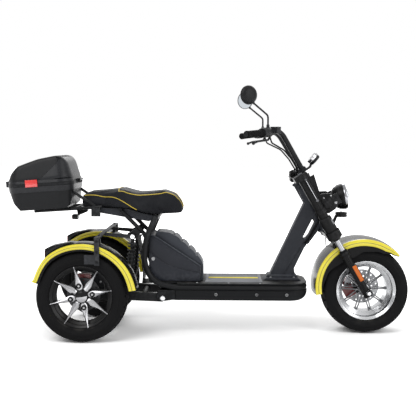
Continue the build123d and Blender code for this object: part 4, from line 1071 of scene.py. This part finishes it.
# The lid's full form above its lip, as one closed shape that runs on below the lip.
def lidForm():
    spec = caseSpec
    lid = nodeShape("case_lid", 0.0)
    spots = [caseBack @ vert.co for vert in lid.verts]
    lid.free()
    spots = [at for at in spots if at.z > spec["lip"] - 0.001 and 0.001 > at.x > -spec["length"] - 0.0005]
    spots += [Vector((at.x, at.y, at.z - 0.045)) for at in spots if at.z < spec["lip"] + 0.012]
    form = bmesh.new()
    for at in spots:
        form.verts.new(casePlace @ at)
    bmesh.ops.remove_doubles(form, verts=form.verts, dist=1e-5)
    bmesh.ops.convex_hull(form, input=form.verts[:])
    bmesh.ops.delete(form, geom=[vert for vert in form.verts if not vert.link_faces], context="VERTS")
    return form


# Shell, a panel behind the crease and one round the front, and the dressed rim below. The panel behind the
# crease is painted darker as shade.
def makeLid():
    spec = caseSpec
    whole = bowEnds(evened(lidForm(), spec["voxel"], spec["round"]), spec["crown"])
    foot, head = [Vector(end) for end in spec["crease"]]
    crease = (head - foot).normalized()
    above = ((0, 0, spec["seam"]), (0, 0, 1))
    shadedRearPanel = raised(cutAway(whole.copy(), (foot, (-crease.z, 0, crease.x)), above), spec["lift"])
    frontPanel = raised(cutAway(whole.copy(), ((-0.05, 0, 0), (1, 0, 0.26)), above), spec["lift"])
    shell = cutAway(whole, ((0, 0, spec["lip"]), (0, 0, 1)))
    makePiece("case_lid_shell", shell, ["casePlastic"], "lid", wall=spec["wall"], sharp=40)
    # The rear panel takes the darker satin black as painted shade; it is the same plastic as the front panel
    # and shell.
    makePiece("case_lid_panel", gather(paint(shadedRearPanel, 1), frontPanel), ["casePlastic", "satinBlackAndLidShade"],
        "lid", sharp=36)
    rim = cutAway(bowEnds(nodeShape("case_lid"), spec["crown"]), ((0, 0, spec["rimTop"]), (0, 0, -1)))
    makePiece("case_lid", rim, ["casePlastic"], "lid", edge=0.0008, sharp=24)


makeTub()
makeLid()
print("top case made")

# Seat
seatSpec = {"voxel": 0.0055, "shrink": 0.005, "round": 14, "pressure": 4.0, "mass": 0.3, "frames": 20,
            "cap": 0.009, "pipeR": 0.0022, "pipeStep": 0.012,
            "plan": [(-0.045, 0.092), (-0.024, 0.112), (0.092, 0.112), (0.16, 0.143), (0.22, 0.143),
                     (0.3, 0.135), (0.38, 0.106), (0.47, 0.098), (0.512, 0.072), (0.524, 0.038)],
            "lower": [(-0.03, 0.757), (0.03, 0.759), (0.08, 0.757), (0.111, 0.753), (0.15, 0.743),
                      (0.185, 0.729), (0.215, 0.711), (0.242, 0.691), (0.266, 0.668)],
            "upper": [(0.168, 0.788), (0.184, 0.79), (0.216, 0.782), (0.25, 0.772), (0.276, 0.769),
                      (0.31, 0.77), (0.346, 0.774), (0.39, 0.78), (0.429, 0.783), (0.455, 0.779),
                      (0.476, 0.768), (0.496, 0.744), (0.51, 0.722), (0.52, 0.7), (0.526, 0.676)]}


def seatHalf(x):
    plan = seatSpec["plan"]
    for (x0, w0), (x1, w1) in zip(plan, plan[1:]):
        if x0 <= x <= x1:
            return w0 + (w1 - w0) * (x - x0) / (x1 - x0)
    return plan[0][1] if x < plan[0][0] else plan[-1][1]


# The pad blown up by cloth simulation, held below and capped in how far it moves.
def swelled(shape):
    spec = seatSpec
    start = [vert.co.copy() for vert in shape.verts]
    pad = holderOf(shape)
    held = pad.vertex_groups.new(name="held")
    for vert in pad.data.vertices:
        if vert.normal.z < -0.55:
            held.add([vert.index], 1.0, "REPLACE")
    cloth = pad.modifiers.new("cloth", "CLOTH")
    cloth.settings.use_pressure = True
    cloth.settings.uniform_pressure_force = spec["pressure"]
    cloth.settings.vertex_group_mass = "held"
    cloth.settings.effector_weights.gravity = 0.0
    cloth.settings.mass = spec["mass"]
    for step in range(1, spec["frames"] + 1):
        scene.frame_set(step)
    swollen = applied(pad)
    scene.frame_set(1)
    for vert, before in zip(swollen.verts, start):
        move = vert.co - before
        if move.length > spec["cap"]:
            vert.co = before + move * (spec["cap"] / move.length)
    return smoothed(swollen, 3)


# Points at even steps along the run, laid on the cushion's skin.
def laidOn(tree, points, off):
    run = []
    for a, b in zip(points, points[1:]):
        a, b = Vector(a), Vector(b)
        count = max(1, round((b - a).length / seatSpec["pipeStep"]))
        run += [a + (b - a) * k / count for k in range(count)]
    found = [tree.find_nearest(point)[0] for point in [*run, Vector(points[-1])]]
    for again in range(3):
        between = [(a + 2 * b + c) / 4 for a, b, c in zip(found, found[1:], found[2:])]
        found = [found[0], *between, found[-1]]
    met = [tree.find_nearest(spot) for spot in found]
    return [spot + off * normal for spot, normal, index, far in met]


# Cushion, two lines of piping down each side and one across the back of the front seat.
def makeSeat():
    spec = seatSpec
    shape = evened(nodeShape("seat_cushion", 0.0), spec["voxel"], spec["round"])
    for vert in shape.verts:
        vert.co -= spec["shrink"] * vert.normal
    shape = swelled(shape)
    tree = BVHTree.FromBMesh(shape)
    cushion = makePiece("seat_cushion", shape, ["seatLeather"], "frame", levels=1, sharp=80)
    pipes = []
    for s in (-1, 1):
        lower = [(rearX + x, s * (seatHalf(x) + 0.02), z) for x, z in spec["lower"]]
        pipes.append(tubeAlong(laidOn(tree, lower, 0.0006), spec["pipeR"], 4, 2))
        upper = [(rearX + x, s * (seatHalf(x) + (0.004 if x < 0.48 else -0.004)), z + 0.014) for x,
            z in spec["upper"]]
        pipes.append(tubeAlong(laidOn(tree, upper, 0.0008), spec["pipeR"], 4))
    across = [(rearX + 0.168 - 0.012 * (1 - abs(t)), t * 0.15, 0.806 if abs(t) < 0.8 else 0.796) for
        t in (-1, -0.75, -0.5, -0.25, 0, 0.25, 0.5, 0.75, 1)]
    pipes.append(tubeAlong(laidOn(tree, across, 0.0008), spec["pipeR"], 4))
    piping = makePiece("seat_piping", gather(*pipes), ["pipingVinyl"], "frame", sharp=60)
    piping.parent = cushion


makeSeat()
print("seat made")


# Fork: Y is the leg's middle, and everything is made on the right and mirrored.
legX, legY = -0.009, 0.145
leg = forkPlace @ shift(legX, -legY, 0)
stemPlace = forkPlace @ shift(-0.032, 0, 0)


def makeForkUppers():
    parts = [lathe([(0, 738), (25.5, 738), (26, 736), (26, 640), (26.6, 638), (26.6, 634), (26, 632), (26,
        470)], leg, 40)]
    parts.append(lathe([(15, 340), (33, 340), (35, 343), (35, 352), (34, 354), (34, 385), (35, 387), (35,
        462), (33, 470), (25, 473)], leg, 44))
    parts.append(lathe([(14.5, 345), (19, 345), (20.5, 341), (20.5, 334), (16.5, 331), (14.5, 331)], leg,
        36, closed=True, material=2))
    parts.append(lathe([(16, 252), (16, 350)], leg, 40, material=1))
    parts.append(lathe([(0, 744), (12.5, 744), (13.5, 742), (13.5, 736)], leg, 6, material=3))
    bar = [leg @ Vector((0.01, -0.0295, up)) for up in (0.574, 0.6, 0.65, 0.69, 0.702)]
    parts.append(tubeAlong(bar, 0.0021, material=1))
    for up, size in ((0.574, 8.5), (0.702, 7)):
        parts.append(lathe([(0, 0), (size, 0), (size, 6), (0.7 * size, 9), (0, 9)], leg @ rightSide(0.01,
            0.0255, up), 20, material=3))
    for up in (0.368, 0.436):
        parts.append(block((0.011, 0.003, 0.032), leg @ turn(-38, "Z") @ shift(0.0345, 0, up) @ turn(90,
            "Z"), 0.0008, material=1))
    makePiece("fork_uppers", mirrored(*parts), ["forkBlack", "forkChrome", "gripRubber", "darkSteel"],
        "steering", sharp=34)


makeForkUppers()
axleEnd = forkPlace @ rightSide(0, 0.1755, 0)
lowerExtras = [lathe([(0, -4.5), (14.5, -4.5), (15, -3.5), (15, 0), (0, 0)], axleEnd, 28, material=1),
    lathe([(0, -2), (11, -2), (11, 4.5), (9, 6.2), (0, 6.2)], axleEnd, 6, material=1), lathe([(16, 258.5),
    (23.5, 258.5), (23.5, 264), (19, 269), (16.2, 270)], leg, 36, material=2), lathe([(21.8, 236), (26.2,
    236), (26.2, 226), (21.8, 224)], leg, 36, closed=True)]
dress("fork_lowers", ["forkBlack", "brightChrome", "gripRubber"], "steering", 0.0018,
    extra=[mirrored(*lowerExtras)])
lens = block((0.022, 0.007, 0.094), forkPlace @ shift(0.002, -0.1705, 0.124), 0.003, 3)
back = block((0.027, 0.006, 0.1), forkPlace @ shift(0.002, -0.1685, 0.124), 0.0026, 3, 1)
makePiece("fork_reflectors", mirrored(back, lens), ["amberLens", "satinBlackAndLidShade"], "steering",
    sharp=30)


# Pinch bolts, socket screws of the bar clamps, the stem's top and the knobs beside it.
def clampExtras():
    parts = [bolt(forkPlace @ shift(x, -y, up) @ turn(90, "Y"), 6, 6) for x, y, up in ((0.02, 0.11, 0.3665),
        (0.026, 0.112, 0.72))]
    for x in (0.003, 0.033):
        for y in (-0.054, -0.082):
            parts.append(lathe([(0, 0), (5.2, 0), (5.2, 5), (4.6, 6), (3, 6), (2.6, 3), (0, 3)], forkPlace @
                shift(x, y, 0.758), 18, material=1))
    for x, up in ((-0.052, 0.722), (-0.037, 0.752)):
        parts.append(lathe([(0, -20), (11, -20), (11, 8), (9.5, 10), (6, 10), (5.5, 6), (0, 6)], forkPlace @
            rightSide(x, 0.026, up), 28))
    top = lathe([(0, 770), (12, 770), (14, 767), (14, 759), (20, 757), (22, 754), (22, 740), (0, 740)],
        stemPlace, 32)
    return [mirrored(*parts), top]


dress("fork_clamps", ["forkBlack", "zincSteel"], "steering", 0.003, extra=clampExtras())
caliperBolts = [bolt(forkPlace @ shift(x, 0.082, up) @ turn(-90, "X"), 5.2, 6) for x, up in ((-0.096,
    0.034), (-0.06, 0.034), (-0.092, -0.01))]
dress("front_caliper", ["caliperRed", "zincSteel"], "steering", 0.0022, extra=caliperBolts)
dress("rear_calipers", ["caliperRed"], "frame", 0.0022)

# Headlight, ears and horn
lampPlace = shift(frontHub.x - 0.114, 0, 0.751) @ turn(81, "Y")


def makeHeadlight():
    bowl = lathe([(0, -76), (14, -75.5), (30, -72), (44, -64.5), (54, -56), (62.5, -42), (68.5, -26), (71.2,
        -12), (71.2, -6), (69, -6), (69, -12), (66, -25), (60, -41), (51.5, -54), (42, -62), (29, -69.5),
        (0, -73)], lampPlace, 56)
    rim = lathe([(69, -8.5), (72.2, -8.5), (73, -7), (73, 4), (71.5, 6.6), (69, 7.6), (66.4, 6.6), (65.6,
        3), (66.4, -4)], lampPlace, 64, closed=True, material=1)
    mirror = lathe([(9, -56), (20, -53.5), (34, -45.5), (47, -32.5), (57, -18), (65, -3.5)], lampPlace, 40)
    facets = [f for f in mirror.faces if f.calc_area() > 1e-5]
    bmesh.ops.inset_individual(mirror, faces=facets, thickness=0.0006, depth=0.0008, use_even_offset=True)
    bulb = lathe([(0, -18), (6, -19), (8.5, -24), (8.5, -40), (10.5, -44), (10.5, -58), (0, -58)],
        lampPlace, 24, material=2)
    ribs = []
    for k in range(2):
        r, h = 66.5 - 2.8 * k, -30 - 5.2 * k
        ribs.append(lathe([(r, h), (r + 2.5 - 0.2 * k, h - 0.6), (r + 1.7 - 0.2 * k, h - 3), (r - 1,
            h - 2.6)], lampPlace, 56, closed=True))
    makePiece("headlight", gather(bowl, rim, paint(mirror, 1), bulb, *ribs), ["forkBlack", "forkChrome",
        "zincSteel"], "steering", sharp=36)
    glass = lathe([(0, 26), (18, 24), (36, 18.2), (50, 10.8), (60, 4.2), (65.5, -1), (65.5, -3), (59, 1.2),
        (49, 7.8), (36, 15), (18, 20.8), (0, 22.8)], lampPlace, 56)
    makePiece("headlight_lens", glass, ["lampGlass"], "steering", sharp=40)


makeHeadlight()
earOutline = [(-286, 700), (-276, 752), (-252, 770), (-200, 772), (-176, 752), (-166, 716), (-176, 690),
    (-212, 664), (-262, 668)]
earInner = [(-262, 702), (-254, 742), (-214, 752), (-190, 724), (-208, 690), (-246, 684)]
earBolts = [(-0.178, 0.722, 5.5), (-0.244, 0.746, 3.8), (-0.236, 0.676, 3.8), (-0.27, 0.716, 3.6), (-0.205,
    0.76, 3.4)]
pivotX = frontHub.x - 0.178
ears = mirrored(prism(fromFront(earOutline), -0.1145, -0.096, edge=0.004), prism(fromFront(earInner),
    -0.1185, -0.112, edge=0.0025), *[bolt(rightSide(frontHub.x + x, 0.115, z), size, 6.5) for x, z,
    size in earBolts], rod((pivotX, -0.062, 0.722), (pivotX, -0.098, 0.722), 0.0095, 0.001, 0))
bridge = block((0.03, 0.196, 0.04), shift(frontHub.x - 0.238, 0, 0.706) @ turn(-30, "Y"), 0.004)
dress("lamp_ears", ["forkBlack", "zincSteel"], "steering", 0.0016, extra=[ears, bridge])
hornPlace = forkPlace @ shift(0.092, 0, 0.42) @ turn(30, "Y")
can = lathe([(0, 13), (8, 13), (10, 10.5), (22, 9.5), (25.5, 13), (30, 13), (33, 10.5), (33, 4), (31.2, 3),
    (31.2, -2), (33, -3), (33, -10.5), (30, -13), (0, -13)], hornPlace, 44)
strap = prism([(0.006, 0.38), (0.018, 0.38), (0.072, 0.424), (0.072, 0.434), (0.062, 0.434), (0.006,
    0.392)], -0.009, 0.009, forkPlace, 0.0012)
makePiece("horn", gather(can, strap, bolt(hornPlace @ shift(0, 0, 0.012), 6, 5)), ["glossBlack",
    "zincSteel"], "steering", sharp=34)
print("fork and lamp made")

# Handlebar and what sits on it, on the right and mirrored
dress("handlebar", ["satinBlackAndLidShade"], "steering", 0.001, sharp=40)
barKnee, barEnd = Vector((-0.482, -0.13, 1.105)), Vector((-0.675, -0.39, 1.081))


# Point at a share of the way from the bar's knee to its end.
def onBar(share):
    return Vector((frontHub.x, 0, 0)) + barKnee + share * (barEnd - barKnee)


def makeGrips():
    start, end = onBar(0.56), onBar(1.0)
    place, length, ribs = aimed(start, end), 1000 * (end - start).length, 11
    profile = [(15, 0), (22.5, 0), (23.5, 1.5), (23.5, 4.5), (19, 6.5)]
    for k in range(ribs):
        low = 10 + k * (length - 26) / ribs
        high = low + 0.66 * (length - 26) / ribs
        profile += [(16.6, low), (17.6, low + 0.8), (17.9, high - 0.8), (16.6, high)]
    profile += [(18.5, length - 12), (19, length - 3), (17, length + 0.5), (0, length + 1.5)]
    plug = lathe([(12, length), (14, length + 1), (14, length + 4.5), (11, length + 6), (0, length + 6)],
        place, 28, material=1)
    makePiece("grips", mirrored(lathe(profile, place, 40), plug), ["gripRubber", "satinBlackAndLidShade"], "steering",
        sharp=40)


# Switch housings with their buttons, and the fluid boxes' lids with their screws.
def makeControls():
    place, up, lidAt = aimed(onBar(0.4), onBar(0.55)), onBar(0.475), onBar(0.3)
    length = 1000 * (onBar(0.55) - onBar(0.4)).length
    parts = [lathe([(24, 0), (25.2, 1.5), (25.6, 10), (25.6, length - 8), (24.5, length - 1), (20, length)],
        place, 40)]
    parts.append(lathe([(24, 0.49 * length), (26.1, 0.49 * length), (26.1, 0.53 * length), (24,
        0.53 * length)], place, 40, closed=True, material=1))
    buttons = []
    for side in (-1, 1):
        for dy, material in ((-0.011, 2), (0.006, 1)):
            spot = shift(up.x - 0.022, side * abs(up.y) + dy, up.z + 0.012) @ turn(-58, "Y")
            buttons.append(block((0.009, 0.012, 0.006), spot, 0.0015, material=material))
    lid = shift(lidAt.x + 0.026, lidAt.y + 0.004, lidAt.z + 0.0245) @ turn(-40, "Z")
    parts.append(block((0.046, 0.036, 0.005), lid, 0.0016))
    for x in (-0.016, 0.016):
        parts.append(lathe([(0, 0), (2.8, 0), (2.2, 1.4), (0, 1.4)], lid @ shift(x, 0, 0.0025), 12,
            material=3))
    dress("controls", ["switchPlastic", "satinBlackAndLidShade", "caliperRed", "zincSteel"], "steering",
        0.0016, extra=[mirrored(*parts), *buttons])


makeGrips()
makeControls()
mirrorSpec = {"centre": (-0.654, -0.25, 1.287), "yaw": 59.0, "radius": 0.05, "rise": 0.077,
    "stalkR": 0.0048}


# Round mirrors on bent stalks; their glasses are a piece of their own.
def makeMirrors():
    spec = mirrorSpec
    centre = Vector((frontHub.x, 0, 0)) + Vector(spec["centre"])
    yaw = radians(spec["yaw"])
    place = aimed(centre, centre + Vector((-cos(yaw), sin(yaw), 0)))
    shell = lathe([(0, -12), (16, -11.8), (30, -10), (40, -6), (46.5, 0), (49.2, 5), (50, 10.5), (49.6, 12),
        (47.8, 12.2), (47, 10.8), (47, 9.6), (0, 9.6)], place, 64)
    glass = lathe([(0, 11.2), (24, 10.8), (47.2, 9.8), (47.2, 9.4), (0, 9.4)], place, 64)
    base = onBar(0.385)
    corner = Vector((base.x, base.y, barKnee.z + spec["rise"]))
    anchor = centre + Vector((0.014, 0.004, 0.014 - spec["radius"]))
    lean = (anchor - corner).normalized()
    line = [base + Vector((0, 0, 0.018)), corner - Vector((0, 0, 0.022)), corner - Vector((0, 0, 0.006)),
        corner + 0.006 * lean, corner + 0.022 * lean, anchor]
    joint = lathe([(4.6, 0), (6.8, 1), (6.8, 14), (9, 18), (0, 24)], aimed(anchor - 0.014 * lean, anchor),
        20)
    foot = Matrix.Translation(base)
    nut = lathe([(0, 18), (10.8, 18), (10.8, 26), (9, 28), (0, 28)], foot, 6)
    boot = lathe([(8.2, 26), (8.2, 36), (6.2, 41), (4.6, 42)], foot, 20)
    makePiece("mirrors", mirrored(shell, tubeAlong(line, spec["stalkR"]), joint, nut, boot), ["satinBlackAndLidShade"],
        "steering", sharp=38)
    makePiece("mirror_glasses", mirrored(glass), ["mirrorGlass"], "steering", sharp=30)


makeMirrors()
gaugeSpec = {"face": (-0.3, 0, 0.965), "tilt": 49.0, "ticks": 13, "swing": 270.0}


# Round clock facing the rider: bright case, dark back, dial with ticks and a needle.
def makeGauge():
    spec = gaugeSpec
    face = Vector((frontHub.x, 0, 0)) + Vector(spec["face"])
    place = Matrix.Translation(face) @ turn(-spec["tilt"], "Y")
    parts = [lathe([(30, -3), (30.2, 0.2), (32.5, 0.8), (34, -0.6), (34.2, -14), (33.2, -16), (30, -16)],
        place, 56, material=1)]
    parts.append(lathe([(32.8, -15), (32.8, -29), (29, -33), (0, -33)], place, 48))
    parts.append(lathe([(0, -3), (30.2, -3)], place, 48, material=2))
    for k in range(spec["ticks"]):
        size = 0.0052 if k % 3 == 0 else 0.0032
        spot = turn(spec["swing"] * k / (spec["ticks"] - 1) - 225, "Z") @ shift(0.025 - size / 2, 0,
            -0.0027)
        parts.append(block((size, 0.001, 0.0004), place @ spot, material=3))
    parts.append(block((0.021, 0.0013, 0.0008), place @ turn(150, "Z") @ shift(0.0085, 0, -0.002),
        material=4))
    parts.append(lathe([(0, -1), (3, -1.2), (3, -2.8)], place, 20))
    parts.append(block((0.014, 0.008, 0.0005), place @ shift(-0.0125, 0, -0.0026), 0.0008, material=3))
    stem = [face + Vector(step) for step in ((0.012, 0, -0.012), (-0.002, 0, -0.034), (-0.006, 0, -0.06))]
    parts.append(tubeAlong([*stem, forkPlace @ Vector((0.014, 0, 0.735))], 0.0066))
    makePiece("gauge", gather(*parts), ["satinBlackAndLidShade", "machinedFace", "dialFace", "dialMark", "caliperRed"],
        "steering", sharp=36)
    cover = lathe([(0, 0.6), (18, 0.3), (30.4, -1), (30.4, -1.8), (18, -0.6), (0, -0.2)], place, 48)
    makePiece("gauge_glass", cover, ["dialGlass"], "steering", sharp=40)


makeGauge()
dress("cables", ["gripRubber"], "steering", sharp=40)
dress("loom", ["gripRubber"], "frame", sharp=40)
print("bars made")

# Floor, light and camera
studio = {"floorHalf": 30.0, "floorSeen": (1.28, 2.6), "floorFade": (1.3, 4.5), "floorLit": 0.6,
    "sky": 0.62, "key": (150.0, (-2.2, -3.4, 4.2), 3.0), "fill": (70.0, (3.6, -2.6, 2.4), 2.6),
    "back": (90.0, (0.4, 3.6, 3.6), 3.0)}


# 1 for rays that show the background, 0 for the light that falls on the object.
def seenDirectly(tree):
    path = addNode(tree, "LightPath")
    straight = combined(tree, "MAXIMUM", path.outputs["Is Camera Ray"], path.outputs["Is Transmission Ray"])
    return combined(tree, "MAXIMUM", straight, path.outputs["Is Glossy Ray"])


def makeStage():
    floorShape = bmesh.new()
    bmesh.ops.create_grid(floorShape, x_segments=1, y_segments=1, size=studio["floorHalf"])
    floor = holderOf(floorShape)
    floor.name = "studioFloor"
    material = bpy.data.materials.new("paleFloor")
    material.use_nodes = True
    tree = material.node_tree
    tree.nodes.remove(tree.nodes["Principled BSDF"])
    place = addNode(tree, "TexCoord").outputs["Object"]
    reach = addNode(tree, "VectorMath", {0: place}, operation="LENGTH").outputs["Value"]
    near, far = studio["floorSeen"]
    seen = mapped(tree, reach, *studio["floorFade"], near, far)
    colour = addNode(tree, "CombineColor", {k: mapped(tree, seenDirectly(tree), 0.0, 1.0,
        studio["floorLit"], seen) for k in range(3)}).outputs[0]
    matt = addNode(tree, "BsdfDiffuse", {"Color": colour})
    tree.links.new(matt.outputs[0], tree.nodes["Material Output"].inputs["Surface"])
    floor.data.materials.append(material)
    world = bpy.data.worlds.new("studioWorld")
    world.use_nodes = True
    tree = world.node_tree
    strength = mapped(tree, seenDirectly(tree), 0.0, 1.0, studio["sky"], 1.0)
    background = tree.nodes["Background"]
    background.inputs["Color"].default_value = (1.0, 1.0, 1.0, 1.0)
    tree.links.new(strength, background.inputs["Strength"])
    scene.world = world
    for name in ("key", "fill", "back"):
        power, place, size = studio[name]
        light = bpy.data.lights.new(name, "AREA")
        light.energy = power
        light.size = size
        lamp = bpy.data.objects.new(name, light)
        lamp.location = place
        aim = Vector((0.0, 0.0, 0.5)) - Vector(place)
        lamp.rotation_mode = "QUATERNION"
        lamp.rotation_quaternion = aim.to_track_quat("-Z", "Y")
        scene.collection.objects.link(lamp)


cameraSpec = {"place": (0.053, -4.258, 1.028), "yaw": 0.65, "pitch": 4.68, "roll": 0.33, "lens": 66.61}


def makeCamera():
    yaw, pitch, roll = [radians(cameraSpec[key]) for key in ("yaw", "pitch", "roll")]
    ahead = Vector((-sin(yaw) * cos(pitch), cos(yaw) * cos(pitch), -sin(pitch)))
    right = Vector((cos(yaw), sin(yaw), 0.0))
    up = right.cross(ahead)
    across = cos(roll) * right + sin(roll) * up
    top = cos(roll) * up - sin(roll) * right
    place = Matrix((across, top, -ahead)).transposed().to_4x4()
    place.translation = cameraSpec["place"]
    view = bpy.data.cameras.new("camera")
    view.lens = cameraSpec["lens"]
    view.sensor_width = 36.0
    camera = bpy.data.objects.new("camera", view)
    camera.matrix_world = place
    scene.collection.objects.link(camera)
    scene.camera = camera


makeStage()
makeCamera()
scene.view_settings.view_transform = "Standard"
